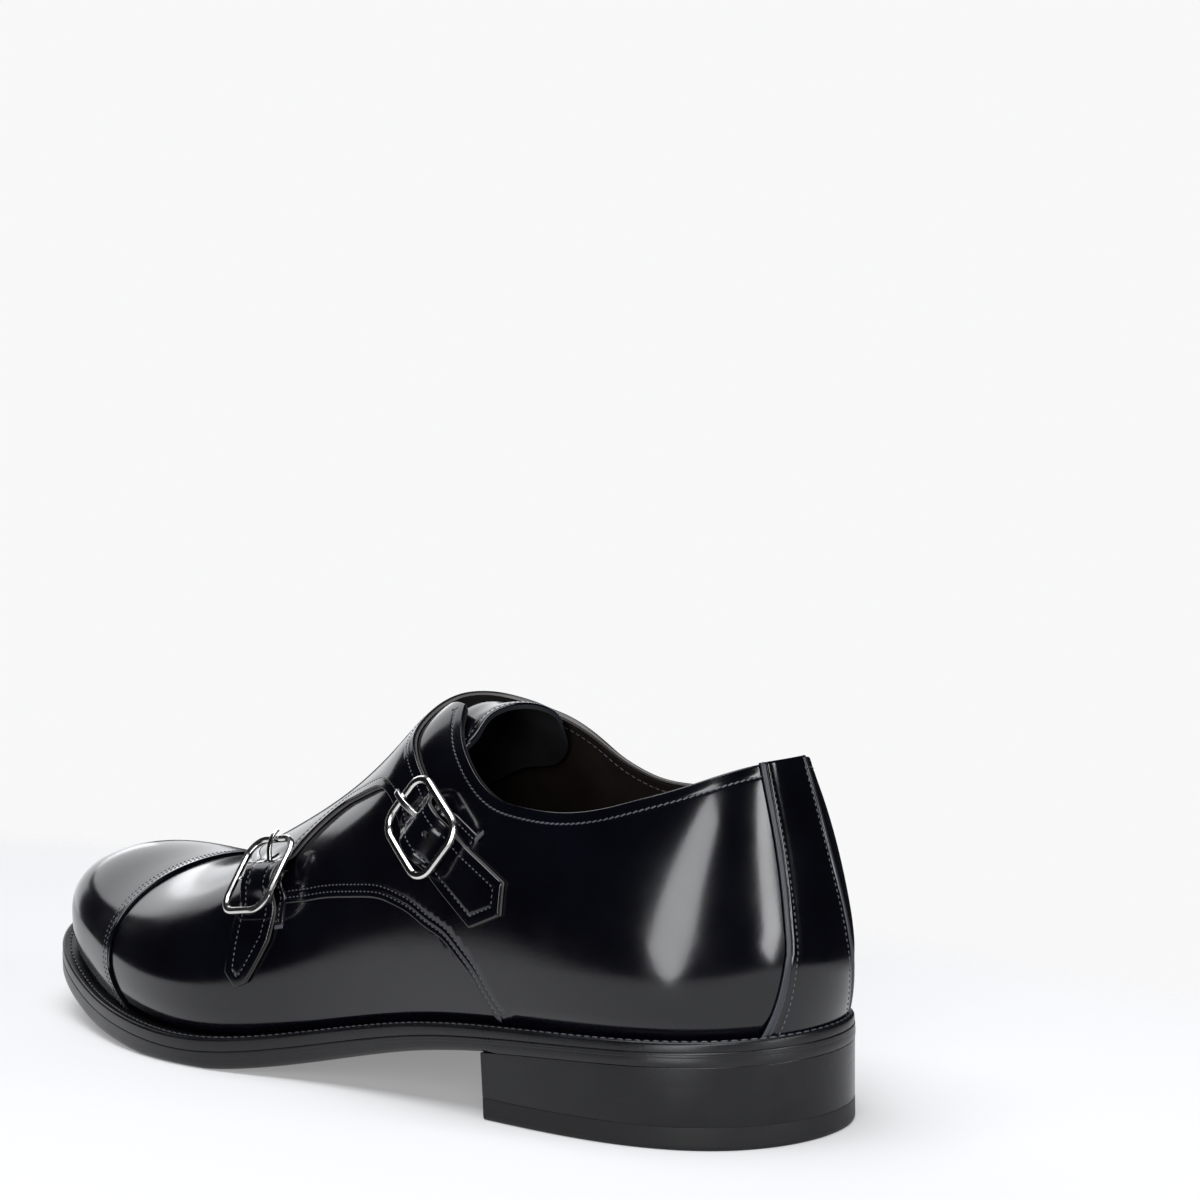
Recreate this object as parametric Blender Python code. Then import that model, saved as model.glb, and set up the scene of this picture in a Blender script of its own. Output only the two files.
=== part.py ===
"""Left cap-toe double monk strap shoe, in metres.

+Z is up, the toe points along -Y and the buckle side, the lateral side, is +X. The floor is Z = 0.
Tables and lengths are in millimetres. A station is a distance along the shoe from the heel's back.
A turn is a place across the shoe: 0 on the ridge of the last, 1 on its widest line, 2 on the feather
edge where the upper meets the welt, positive on the lateral side and negative on the medial side.
"""

import bmesh
import bpy
import numpy as np
from mathutils.geometry import delaunay_2d_cdt

MM = 0.001
GAP = 0.3
CENTRE_STATION = 151.55
CENTRE_SIDE = -1.8

WALL = 2.0
TOE_ROLL = 39.0
TOE_ROUNDING = 2.5
TIP_FADE = 20.0
BACK_LEAN = 16.0
BACK_LEAN_FADE = 45.0
BACK_LEAN_POWER = 1.15
UNDERCUT_POWER = 2.4

OUTSOLE_SHARE = 0.58
WELT_REACH_IN = 7.0
HEEL_BREAST = 82.5
HEEL_TAPER = 0.5
TOP_LIFT = 6.0
INSOLE_THICKNESS = 3.0

THROAT = 130.0
CAP_SEAM = 243.5
CAP_THICKNESS = 1.1
CAP_LIFT = 0.5
BACK_STRIP_THICKNESS = 0.8
STRIP_LIFT = 0.4
TONGUE_THICKNESS = 1.7
STRAP_THICKNESS = 1.4
STRAP_LIFT = 0.5
STRAP_OVER_TAB = 2.0
STRAP_OVER_BAR = 3.9
STRAP_RISE_LENGTH = 5.6
TAB_THICKNESS = 1.0
TAB_LIFT = 0.45
FACET_GAP = 1.0

FRAME_ACROSS = 21.8
FRAME_ALONG = 26.0
FRAME_BAND = 2.2
FRAME_DEPTH = 1.6
FRAME_CORNER = 5.0
FRAME_HEIGHT = 4.6
FRAME_BOW = 0.3
BAR_RADIUS = 0.8
BAR_HEIGHT = 2.65

# Plan of the sole's edge, once round from the heel's back: station, side.
SOLE_PLAN = (
    (0.2, -0.5), (9.8, 21.5), (34.5, 35.0), (80.0, 39.3), (120.0, 39.6), (158.0, 42.8), (192.0, 49.6),
    (230.0, 46.8), (264.0, 36.2), (292.3, 21.3), (304.2, -3.0), (293.3, -26.5), (268.0, -43.5),
    (236.0, -52.3), (204.0, -53.0), (168.0, -43.5), (122.0, -31.5), (78.0, -32.6), (36.0, -37.0),
    (7.1, -24.0),
)
PLAN_SPACING_POWER = 0.7
PLAN_SAMPLES = 1600


def spline(places, values, closed=False):
    """A cubic spline through the values: natural at its ends, or once round when closed."""
    x = np.asarray(places, float)
    y = np.asarray(values, float)
    h = np.diff(x)
    count = len(x) - 1 if closed else len(x)
    matrix = np.zeros((count, count))
    right = np.zeros((count,) + y.shape[1:])
    for i in range(count):
        if not closed and i in (0, count - 1):
            matrix[i, i] = 1.0
            continue
        before, after = h[i - 1], h[i]
        last = y[(i - 1) % count] if closed else y[i - 1]
        matrix[i, (i - 1) % count] += before
        matrix[i, i] += 2 * (before + after)
        matrix[i, (i + 1) % count] += after
        right[i] = 6 * ((y[i + 1] - y[i]) / after - (y[i] - last) / before)
    bend = np.linalg.solve(matrix, right)
    if closed:
        bend = np.concatenate([bend, bend[:1]])

    def value(place):
        q = np.asarray(place, float)
        i = np.clip(np.searchsorted(x, q, side="right") - 1, 0, len(x) - 2)
        a, b, step = x[i + 1] - q, q - x[i], h[i]
        if y.ndim > 1:
            a, b, step = a[..., None], b[..., None], step[..., None]
        cubic = (bend[i] * a**3 + bend[i + 1] * b**3) / (6 * step)
        low, high = y[i] / step - bend[i] * step / 6, y[i + 1] / step - bend[i + 1] * step / 6
        return cubic + low * a + high * b

    return value


def table(columns, rows):
    """A spline over the first column for each of the other named columns."""
    rows = np.array(rows, float)
    return {name: spline(rows[:, 0], rows[:, i + 1]) for i, name in enumerate(columns.split()[1:])}


SOLE = table("station underside edge_thickness", (
    (0, 21.6, 6.6),
    (78, 18.6, 6.7),
    (108, 14.8, 7.6),
    (148, 6.2, 8.8),
    (186, 0.1, 9.0),
    (205, -0.45, 9.0),
    (230, 0.9, 9.0),
    (262, 5.0, 9.0),
    (285, 11.5, 9.0),
    (304, 17.8, 9.0),
))
EDGE = table("station welt_lateral welt_medial undercut_lateral undercut_medial widest_rise", (
    (0, 2.6, 2.6, 2.6, 2.6, 20),
    (40, 2.8, 2.8, 2.6, 2.6, 20),
    (85, 3.6, 3.2, 2.5, 4.0, 20),
    (130, 4.4, 4.0, 2.5, 6.0, 19),
    (170, 5.2, 5.0, 3.2, 5.0, 15),
    (205, 5.6, 5.6, 3.6, 3.6, 12),
    (250, 6.0, 6.0, 2.6, 2.6, 11),
    (304, 6.8, 6.8, 1.8, 1.8, 8),
))
RIDGE = table("station height boxiness shear", (
    (0, 111.0, 2.60, 0.0),
    (40, 106.5, 2.60, 0.0),
    (80, 105.5, 2.50, -1.0),
    (106, 107.6, 2.35, -2.8),
    (122, 106.8, 2.28, -4.0),
    (135, 98.2, 2.20, -5.0),
    (160, 80.9, 2.10, -6.5),
    (190, 64.6, 2.10, -6.5),
    (220, 52.8, 2.20, -5.0),
    (250, 48.6, 2.35, -3.0),
    (275, 50.8, 2.45, -1.5),
    (304, 51.0, 2.50, 0.0),
))
# The topline, by sqrt(1 - station / THROAT), so that it rounds off at the throat.
TOPLINE = table("root lateral medial", (
    (0.00, 0.000, 0.000),
    (0.15, 0.100, 0.110),
    (0.28, 0.163, 0.245),
    (0.36, 0.200, 0.318),
    (0.41, 0.290, 0.343),
    (0.457, 0.385, 0.362),
    (0.495, 0.446, 0.390),
    (0.541, 0.510, 0.448),
    (0.583, 0.562, 0.530),
    (0.630, 0.603, 0.594),
    (0.70, 0.632, 0.638),
    (0.76, 0.641, 0.648),
    (0.826, 0.629, 0.633),
    (0.88, 0.599, 0.603),
    (0.927, 0.568, 0.571),
    (0.965, 0.534, 0.537),
    (1.00, 0.513, 0.513),
))


# ---- plan curves ---------------------------------------------------------------------------------
def sole_curve():
    """(points, outward normals) of the sole's edge in plan, as (station, side) pairs."""
    plan = np.array(SOLE_PLAN + SOLE_PLAN[:1])
    steps = np.hypot(*np.diff(plan, axis=0).T) ** PLAN_SPACING_POWER
    along = np.concatenate([[0.0], np.cumsum(steps)])
    points = spline(along, plan, closed=True)(np.linspace(0.0, along[-1], PLAN_SAMPLES + 1)[:-1])
    tangent = np.roll(points, -1, 0) - np.roll(points, 1, 0)
    normal = np.column_stack([-tangent[:, 1], tangent[:, 0]])
    normal /= np.linalg.norm(normal, axis=1)[:, None]
    return points, normal


def lateral_share(count, tip):
    """1 along the lateral half of the plan and 0 along the medial half, eased at both ends."""
    place = np.arange(count)
    angle = np.where(place <= tip, place / tip, 1 + (place - tip) / (count - tip)) * np.pi
    return 0.5 + 0.5 * np.tanh(4 * np.sin(angle))


SOLE_POINTS, SOLE_NORMALS = sole_curve()
SHARE = lateral_share(PLAN_SAMPLES, int(np.argmax(SOLE_POINTS[:, 0])))


def by_side(name, stations):
    return SHARE * EDGE[name + "_lateral"](stations) + (1 - SHARE) * EDGE[name + "_medial"](stations)


WELT_WIDTH = by_side("welt", SOLE_POINTS[:, 0])
UNDERCUT = by_side("undercut", SOLE_POINTS[:, 0])


class Plan:
    """A closed plan curve, split into a lateral and a medial half that are read by station."""

    def __init__(self, inset):
        self.points = SOLE_POINTS - SOLE_NORMALS * np.broadcast_to(inset, PLAN_SAMPLES)[:, None]
        start = int(np.argmin(self.points[:, 0]))
        order = np.roll(np.arange(PLAN_SAMPLES), -start)
        tip = int(np.argmax(self.points[order, 0]))
        self.first = self.points[order[0], 0]
        self.last = self.points[order[tip], 0]
        halves = {1: order[: tip + 1], -1: np.concatenate([order[:1], order[:tip - 1 : -1]])}
        self.halves = {}
        for side, index in halves.items():
            angle = np.maximum.accumulate(self.angle(self.points[index, 0]))
            self.halves[side] = (angle, index)

    def angle(self, station):
        """0 at the heel's back and pi at the tip, even where the curve turns round."""
        return np.arccos(np.clip(1 - 2 * (station - self.first) / (self.last - self.first), -1, 1))

    def station(self, angle):
        return self.first + (self.last - self.first) * (1 - np.cos(angle)) / 2

    def read(self, values, side, angle):
        """Values held once round the curve, read on one side at these angles."""
        angles, index = self.halves[side]
        return np.interp(angle, angles, values[index])

    def side(self, side, angle):
        return self.read(self.points[:, 1], side, angle)


WIDEST = Plan(WELT_WIDTH - UNDERCUT)


def welt_top(station):
    return SOLE["underside"](station) + SOLE["edge_thickness"](station)


# ---- the surface of the last ---------------------------------------------------------------------
def above_widest(angle, turn):
    """The upper's outside above its widest line, as (side, station, height)."""
    station = WIDEST.station(angle)
    lateral, medial = WIDEST.side(1, angle), WIDEST.side(-1, angle)
    across = np.clip(turn, -1, 1) * np.pi / 2
    crown = np.cos(across) ** 2
    boxiness = RIDGE["boxiness"](station)
    base = welt_top(station) + EDGE["widest_rise"](station)
    from_tip = np.clip((WIDEST.last - station) / TOE_ROLL, 0, 1)
    rise = (RIDGE["height"](station) - base) * (1 - (1 - from_tip) ** TOE_ROUNDING) ** (1 / boxiness)
    before_tip = np.clip((WIDEST.last - station) / TIP_FADE, 0, 1)
    shear = RIDGE["shear"](station) * before_tip
    side = (lateral + medial) / 2 + (lateral - medial) / 2 * np.sin(across) + shear * crown
    lean = BACK_LEAN * np.exp(-(station - WIDEST.first) / BACK_LEAN_FADE) * before_tip
    level = crown ** (1 / boxiness)
    return np.stack([side, station + lean * level**BACK_LEAN_POWER, base + rise * level], -1)


def below_widest(angle, turn, half):
    """The upper's outside from its widest line down to the feather edge, on one half."""
    down = np.clip(np.abs(turn) - 1, 0, 1)
    under = WIDEST.read(UNDERCUT, half, angle) * down**UNDERCUT_POWER
    station = WIDEST.station(angle)
    height = welt_top(station) + EDGE["widest_rise"](station) * (1 - down)
    along = station - WIDEST.read(SOLE_NORMALS[:, 0], half, angle) * under
    side = WIDEST.side(half, angle) - WIDEST.read(SOLE_NORMALS[:, 1], half, angle) * under
    return np.stack([side, along, height], -1)


def last_point(angle, turn):
    angle, turn = np.broadcast_arrays(np.asarray(angle, float), np.asarray(turn, float))
    low = np.where((turn > 0)[..., None], below_widest(angle, turn, 1), below_widest(angle, turn, -1))
    return np.where((np.abs(turn) > 1)[..., None], low, above_widest(angle, turn))


def last_normal(angle, turn):
    """The outward unit normal. On the centre lines at the heel's back and the tip it has no side."""
    step = 1e-3
    angle, turn = np.broadcast_arrays(np.asarray(angle, float), np.asarray(turn, float))
    inside = np.clip(angle, 4 * step, np.pi - 4 * step)
    centre = (angle < step) | (angle > np.pi - step)
    pole = (angle > np.pi - step) & (np.abs(turn) <= 1)
    turn = np.where(centre, np.abs(turn), turn)
    along = last_point(inside + step, turn) - last_point(inside - step, turn)
    across = last_point(inside, turn + step) - last_point(inside, turn - step)
    normal = np.cross(across, along)
    normal[..., 0] = np.where(centre, 0.0, normal[..., 0])
    normal = np.where(pole[..., None], (0.0, 1.0, 0.0), normal)
    return normal / np.linalg.norm(normal, axis=-1, keepdims=True)


def on_last(angle, turn, lift):
    """Points this far outside the last's surface, in metres in the shoe's frame."""
    point = last_point(angle, turn) + last_normal(angle, turn) * np.asarray(lift, float)[..., None]
    return to_world(point)


def to_world(point):
    side, station, height = point[..., 0], point[..., 1], point[..., 2]
    return np.stack([side - CENTRE_SIDE, CENTRE_STATION - station, height], -1) * MM


# ---- meshes --------------------------------------------------------------------------------------
def material(name, colour, roughness, metallic=0.0):
    made = bpy.data.materials.new(name)
    made.use_nodes = True
    shader = made.node_tree.nodes["Principled BSDF"]
    shader.inputs["Base Color"].default_value = (*colour, 1.0)
    shader.inputs["Roughness"].default_value = roughness
    shader.inputs["Metallic"].default_value = metallic
    return made


def add_object(name, mesh_maker, finish, smooth_angle=None):
    """An object from a bmesh, its normals outward, in the scene's collection."""
    mesh = bpy.data.meshes.new(name)
    bmesh.ops.recalc_face_normals(mesh_maker, faces=mesh_maker.faces)
    if mesh_maker.calc_volume(signed=True) < 0:
        bmesh.ops.reverse_faces(mesh_maker, faces=mesh_maker.faces)
    mesh_maker.to_mesh(mesh)
    mesh_maker.free()
    mesh.materials.append(finish)
    made = bpy.data.objects.new(name, mesh)
    bpy.context.scene.collection.objects.link(made)
    if smooth_angle is not None:
        mesh.shade_smooth()
        mesh.set_sharp_from_angle(angle=smooth_angle)
    return made


def solid(faces):
    """A bmesh from faces given as lists of points: coincident points are welded, and a face that two
    neighbouring solids share is left out, so that they become one."""
    mesh_maker = bmesh.new()
    corners = {}
    seen = {}
    for face in faces:
        keys = []
        for point in face:
            key = tuple(np.round(np.asarray(point) / (0.001 * MM)).astype(int))
            if key not in corners:
                corners[key] = mesh_maker.verts.new(point)
            if key not in keys:
                keys.append(key)
        if len(keys) > 2:
            shared = frozenset(keys)
            if shared in seen:
                seen[shared] = None
            else:
                seen[shared] = keys
    for keys in seen.values():
        if keys:
            mesh_maker.faces.new([corners[key] for key in keys])
    loose = [vert for vert in mesh_maker.verts if not vert.link_faces]
    bmesh.ops.delete(mesh_maker, geom=loose, context="VERTS")
    return mesh_maker


def sheet_faces(grid, flip=False):
    for i in range(grid.shape[0] - 1):
        for j in range(grid.shape[1] - 1):
            face = [grid[i, j], grid[i + 1, j], grid[i + 1, j + 1], grid[i, j + 1]]
            yield face[::-1] if flip else face


def wall_faces(outer, inner):
    """The four edges of a thick sheet."""
    borders = (
        (outer[0], inner[0]), (outer[-1], inner[-1]),
        (outer[:, 0], inner[:, 0]), (outer[:, -1], inner[:, -1]),
    )
    for over, under in borders:
        for k in range(len(over) - 1):
            yield [over[k], over[k + 1], under[k + 1], under[k]]


def thick_sheet(angle, turn, outside, inside):
    """Faces of a closed sheet over a grid of angles and turns, between two lifts."""
    outer = on_last(angle, turn, np.broadcast_to(outside, angle.shape))
    inner = on_last(angle, turn, np.broadcast_to(inside, angle.shape))
    yield from sheet_faces(outer)
    yield from sheet_faces(inner, flip=True)
    yield from wall_faces(outer, inner)


# ---- upper ---------------------------------------------------------------------------------------
COLLAR_ROWS = 18
FRONT_ROWS = 19
SIDE_COLUMNS = 10
LOW_COLUMNS = 4


def row_stations():
    """Stations of the upper's rows: closer at the heel's back, the throat and the tip."""
    collar = (THROAT - WIDEST.first) * np.sin(np.linspace(0, np.pi / 2, COLLAR_ROWS + 1)) ** 2 + WIDEST.first
    front = (WIDEST.last - THROAT) * np.sin(np.linspace(0, np.pi / 2, FRONT_ROWS + 1)) + THROAT
    return np.concatenate([collar, front[1:]])


def topline(station, half):
    """The turn of the topline, which is 0 in front of the throat."""
    root = np.sqrt(np.clip(1 - (station - WIDEST.first) / (THROAT - WIDEST.first), 0, 1))
    return half * np.where(root > 0, TOPLINE["lateral" if half > 0 else "medial"](root), 0.0)


def upper_shell():
    stations = row_stations()
    angle = WIDEST.angle(stations)
    angle[0], angle[-1] = 0.0, np.pi
    faces = []
    for half in (1, -1):
        top = topline(stations, half)[:, None]
        side = top + (half - top) * np.linspace(0, 1, SIDE_COLUMNS + 1)[None, :]
        low = half * np.linspace(1, 2, LOW_COLUMNS + 1)[None, 1:] + 0 * top
        turn = np.concatenate([side, low], 1)
        faces += thick_sheet(np.repeat(angle[:, None], turn.shape[1], 1), turn, 0.0, -WALL)
    return solid(faces)


# ---- thin curved panels, cut to an outline in (station, turn) -------------------------------------
TURN_LENGTH = 80.0


def smooth_line(points, spacing):
    """Points along a spline through these (station, turn) points, about this far apart."""
    plane = np.array(points, float) * (1.0, TURN_LENGTH)
    along = np.concatenate([[0.0], np.cumsum(np.hypot(*np.diff(plane, axis=0).T))])
    steps = max(1, int(round(along[-1] / spacing)))
    if len(points) == 2:
        return plane[0] + (plane[1] - plane[0]) * np.linspace(0, 1, steps + 1)[:, None]
    return spline(along, plane)(np.linspace(0, along[-1], steps + 1))


def outline(lines, spacing):
    """A closed outline from lines that follow one another, with a corner where two lines meet."""
    return np.concatenate([smooth_line(line, spacing)[:-1] for line in lines])


def within(points, ring):
    """Which points lie inside a closed ring."""
    x, y = points[:, 0][:, None], points[:, 1][:, None]
    (x0, y0), (x1, y1) = ring.T, np.roll(ring, -1, 0).T
    crosses = (y0 > y) != (y1 > y)
    cut = x0 + (y - y0) * (x1 - x0) / np.where(y1 == y0, 1e-12, y1 - y0)
    return (crosses & (x < cut)).sum(1) % 2 == 1


def ring_distance(points, ring):
    ends = np.roll(ring, -1, 0)
    span = ends - ring
    offset = points[:, None] - ring[None]
    share = np.clip((offset * span).sum(-1) / np.maximum((span**2).sum(-1), 1e-12), 0, 1)
    return np.sqrt(((offset - span * share[..., None]) ** 2).sum(-1)).min(1)


def panel_mesh(rings, spacing, extra=()):
    """(plane points, triangles) inside the first ring and outside the others, with extra points that
    take the place of the even ones near them."""
    low, high = rings[0].min(0), rings[0].max(0)
    columns = np.arange(low[0] + spacing / 2, high[0], spacing)
    rows = np.arange(low[1] + spacing / 2, high[1], spacing)
    grid = np.stack(np.meshgrid(columns, rows), -1).reshape(-1, 2)
    for place in extra:
        grid = grid[np.hypot(*(grid - place).T) > 0.7 * spacing]
    grid = np.concatenate([grid, *[[place] for place in extra]])
    keep = within(grid, rings[0])
    for ring in rings:
        least = np.where(np.arange(len(grid)) < len(grid) - len(extra), 0.55 * spacing, 0.8)
        keep &= ring_distance(grid, ring) > least
    for hole in rings[1:]:
        keep &= ~within(grid, hole)
    points = np.concatenate([*rings, grid[keep]])
    edges = []
    start = 0
    for ring in rings:
        count = len(ring)
        edges += [(start + k, start + (k + 1) % count) for k in range(count)]
        start += count
    flat, _, triangles, *_ = delaunay_2d_cdt([tuple(p) for p in points], edges, [], 0, 1e-6)
    flat = np.array([tuple(p) for p in flat])
    triangles = np.array(triangles)
    middle = flat[triangles].mean(1)
    inside = within(middle, rings[0])
    for hole in rings[1:]:
        inside &= ~within(middle, hole)
    return flat, triangles[inside]


def panel_solid(rings, spacing, lower, upper, extra=()):
    """A closed sheet over the panel, between two lifts that are functions of station and turn."""
    flat, triangles = panel_mesh(rings, spacing, extra)
    station, turn = flat[:, 0], flat[:, 1] / TURN_LENGTH
    angle = WIDEST.angle(station)
    over = on_last(angle, turn, upper(station, turn))
    under = on_last(angle, turn, lower(station, turn))
    faces = []
    seen = {}
    for triangle in triangles:
        faces.append([over[k] for k in triangle])
        faces.append([under[k] for k in triangle[::-1]])
        for a, b in zip(triangle, np.roll(triangle, -1)):
            key = (min(a, b), max(a, b))
            seen[key] = seen.get(key, 0) + 1
    for (a, b), count in seen.items():
        if count == 1:
            faces.append([over[a], over[b], under[b], under[a]])
    return solid(faces)


def ease(value):
    """0 to 1 with level ends."""
    share = np.clip(value, 0, 1)
    return share * share * (3 - 2 * share)


# ---- buckles: where they sit, and the straps that run through them ------------------------------
class Seat:
    """A buckle's place on the last. Local axes: along the strap toward its tip, across it, and out."""

    def __init__(self, name, station, turn, heading, tab_heading, tab_length):
        self.name = name
        self.turn = turn
        self.tab_length = tab_length
        self.tab_heading = tab_heading
        angle = WIDEST.angle(station)
        self.origin = last_point(angle, turn)
        self.out = last_normal(angle, turn)
        back = last_point(WIDEST.angle(station - 1.0), turn) - self.origin
        down = last_point(angle, turn + 0.01) - self.origin
        self.back = back / np.linalg.norm(back)
        self.down = down / np.linalg.norm(down)
        self.along = self.direction(heading)
        self.across = np.cross(self.out, self.along)

    def direction(self, heading):
        """The unit vector at this many degrees below straight back."""
        bearing = np.radians(heading)
        vector = self.back * np.cos(bearing) + self.down * np.sin(bearing)
        vector -= self.out * vector.dot(self.out)
        return vector / np.linalg.norm(vector)

    def local(self, station, turn):
        """Places on the last as this seat's along, across and out."""
        offset = last_point(WIDEST.angle(station), turn) - self.origin
        return offset @ self.along, offset @ self.across, offset @ self.out

    def place(self, along, across, out):
        """A local place, in metres in the shoe's frame."""
        local = np.stack(np.broadcast_arrays(along, across, out), -1)
        return to_world(self.origin + local @ np.stack([self.along, self.across, self.out]))


UPPER_SEAT = Seat("upper", 102.9, 0.715, 40.0, 30.0, 21.0)
LOWER_SEAT = Seat("lower", 172.8, 0.612, 85.0, 56.0, 20.0)
SEATS = (UPPER_SEAT, LOWER_SEAT)
HOLE_MIDDLE = -5.3
HOLE_LENGTH = 6.0
HOLE_WIDTH = 3.0

# The medial quarter runs over the instep as a flap and splits into the two straps.
COLLAR_EDGE = (
    (84.6, -0.66), (92.0, -0.48), (97.5, -0.385), (102.5, -0.340), (107.7, -0.316), (111.5, -0.292),
    (117.2, -0.248), (121.4, -0.173), (123.9, -0.074), (124.9, 0.042), (125.3, 0.140), (125.4, 0.225),
    (124.3, 0.325), (121.4, 0.405), (118.0, 0.462), (113.6, 0.518), (109.3, 0.562), (104.0, 0.615),
    (97.5, 0.675), (89.7, 0.745),
    (81.0, 0.800), (71.8, 0.856),
)
UPPER_TIP = ((71.8, 0.856), (73.0, 0.935)), ((73.0, 0.935), (84.4, 0.962))
UPPER_FRONT_EDGE = (
    (84.4, 0.962), (92.4, 0.907), (98.5, 0.861), (107.6, 0.781), (114.6, 0.710), (118.6, 0.650),
)
ARCH_EDGE = (
    (118.6, 0.650), (123.6, 0.593), (130.8, 0.528), (137.2, 0.490), (147.1, 0.437), (155.0, 0.408),
    (161.0, 0.433),
    (164.6, 0.500), (165.8, 0.580), (165.2, 0.680), (163.9, 0.790), (164.5, 0.868),
)
LOWER_TIP = (
    ((164.5, 0.868), (172.0, 0.990)), ((172.0, 0.990), (175.4, 0.998)), ((175.4, 0.998), (178.8, 0.936)),
)
LOWER_FRONT_EDGE = (
    (178.8, 0.936), (178.5, 0.830), (178.7, 0.720), (178.8, 0.640), (179.1, 0.575), (182.3, 0.510),
    (189.0, 0.430),
    (197.5, 0.300),
    (202.5, 0.130), (203.5, -0.050), (200.5, -0.230), (194.0, -0.420), (184.0, -0.600), (180.0, -0.660),
)
ROOT_EDGE = ((180.0, -0.66), (84.6, -0.66))


def strap_lift(station, turn):
    """The strap's underside: sunk in the medial wall at its root, clear of the instep, and over each bar."""
    free = ease((turn + 0.615) / 0.085)
    lift = -1.5 + (1.5 + STRAP_LIFT) * free
    for seat in SEATS:
        along, across, out = seat.local(station, turn)
        between_sides = ease((9.6 - np.abs(across)) / 1.8) * (turn > 0)
        over_tab = ease((along + 9) / 5) * (1 - ease((along - seat.tab_length - 2) / 5))
        over_tab *= np.where(across > 0, between_sides, ease((12 + across) / 3))
        over_bar = (STRAP_OVER_BAR - out) * np.exp(-np.abs(along / STRAP_RISE_LENGTH) ** 3) * between_sides
        lift = lift + np.maximum(np.maximum(over_bar - lift, (STRAP_OVER_TAB - lift) * over_tab), 0)
    return lift


def strap_top(station, turn):
    thickness = np.interp(turn, (-0.61, -0.54), (0.6, STRAP_THICKNESS))
    return strap_lift(station, turn) + thickness


def hole_ring(seat):
    """The slot for the prong, as a ring in the plane of the panels."""
    bearing = np.linspace(0, 2 * np.pi, 9)[:-1]
    along = HOLE_MIDDLE + HOLE_LENGTH / 2 * np.cos(bearing)
    across = HOLE_WIDTH / 2 * np.sin(bearing)
    return seat_ring(seat, along, across)


def seat_ring(seat, along, across):
    """Local places of a seat, as (station, scaled turn) pairs found by a few Newton steps."""
    station = np.full(len(along), CENTRE_STATION - to_world(seat.origin)[1] / MM)
    turn = np.full(len(along), seat.turn)
    for _ in range(12):
        here = np.stack(seat.local(station, turn)[:2], -1)
        by_station = np.stack(seat.local(station + 0.1, turn)[:2], -1) - here
        by_turn = np.stack(seat.local(station, turn + 0.001)[:2], -1) - here
        miss = np.stack([along, across], -1) - here
        frame = np.stack([by_station / 0.1, by_turn / 0.001], -1)
        step = np.linalg.solve(frame, miss[..., None])[..., 0]
        station = station + step[:, 0]
        turn = turn + step[:, 1]
    return np.column_stack([station, turn * TURN_LENGTH])


PANEL_SPACING = 6.8
EDGE_SPACING = 4.0


def flap():
    lines = (COLLAR_EDGE, *UPPER_TIP, UPPER_FRONT_EDGE, ARCH_EDGE, *LOWER_TIP, LOWER_FRONT_EDGE, ROOT_EDGE)
    rings = [outline(lines, EDGE_SPACING)] + [hole_ring(seat) for seat in SEATS]
    along, across = np.meshgrid((-6.0, -3.0, -1.0, 1.0, 3.0, 6.0, 9.0), (-6.0, -2.5, 2.5, 6.0))
    near_bars = [place for seat in SEATS for place in seat_ring(seat, along.ravel(), across.ravel())]
    return panel_solid(rings, PANEL_SPACING, strap_lift, strap_top, near_bars)


TONGUE_EDGE = (
    (186, -0.30), (150, -0.42), (122, -0.55), (110, -0.555), (103.5, -0.50), (99.8, -0.41), (97.8, -0.28),
    (97.8, -0.14), (99.5, 0.0), (101.8, 0.12), (103.0, 0.22), (103.4, 0.32), (106.0, 0.42), (113.0, 0.485),
    (124.0, 0.49), (150, 0.42),
    (186, 0.30),
)
TONGUE_RISE = 1.9


def tongue_top(station, turn):
    """The tongue's outside: under the quarters, and rising toward its free end."""
    free = ease((112 - station) / 12) * ease((0.36 - np.abs(turn + 0.03)) / 0.16)
    return -WALL - FACET_GAP + TONGUE_RISE * free


def tongue():
    ring = outline((TONGUE_EDGE, (TONGUE_EDGE[-1], TONGUE_EDGE[0])), EDGE_SPACING)
    return panel_solid(
        [ring],
        PANEL_SPACING,
        lambda station, turn: tongue_top(station, turn) - TONGUE_THICKNESS,
        tongue_top,
    )


def tab(seat):
    """The leather tab that holds the buckle, from its bar to its bar tack."""
    half, end = 5.6, seat.tab_length
    heading = seat.direction(seat.tab_heading)
    axis = np.array([heading @ seat.along, heading @ seat.across])
    side = np.array([-axis[1], axis[0]])
    shape = [
        (-2.5, -half), (end - 3, -half), (end, -half + 3),
        (end, half - 3), (end - 3, half), (-2.5, half),
    ]
    corners = [axis * along + side * across for along, across in shape]
    places = []
    for start, stop in zip(corners, corners[1:] + corners[:1]):
        steps = max(1, int(round(np.hypot(*(stop - start)) / EDGE_SPACING)))
        places += [start + (stop - start) * k / steps for k in range(steps)]
    places = np.array(places)
    ring = seat_ring(seat, places[:, 0], places[:, 1])
    return panel_solid(
        [ring],
        PANEL_SPACING,
        lambda station, turn: np.full_like(station, TAB_LIFT),
        lambda station, turn: np.full_like(station, TAB_LIFT + TAB_THICKNESS),
    )


# ---- proud overlays ------------------------------------------------------------------------------
LOW_END = 1.93


def toe_cap():
    low = np.linspace(1, LOW_END, 4)[1:]
    turn = np.concatenate([-low[::-1], np.linspace(-1, 1, 21), low])
    share = np.sin(np.linspace(0, np.pi / 2, 10))
    seam = CAP_SEAM - 3.2 * turn**2
    station = seam[None, :] + (WIDEST.last - seam[None, :]) * share[:, None]
    angle = WIDEST.angle(station)
    angle[-1] = np.pi
    turn = np.broadcast_to(turn, angle.shape)
    return solid(list(thick_sheet(angle, turn, CAP_LIFT + CAP_THICKNESS, CAP_LIFT)))


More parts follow.
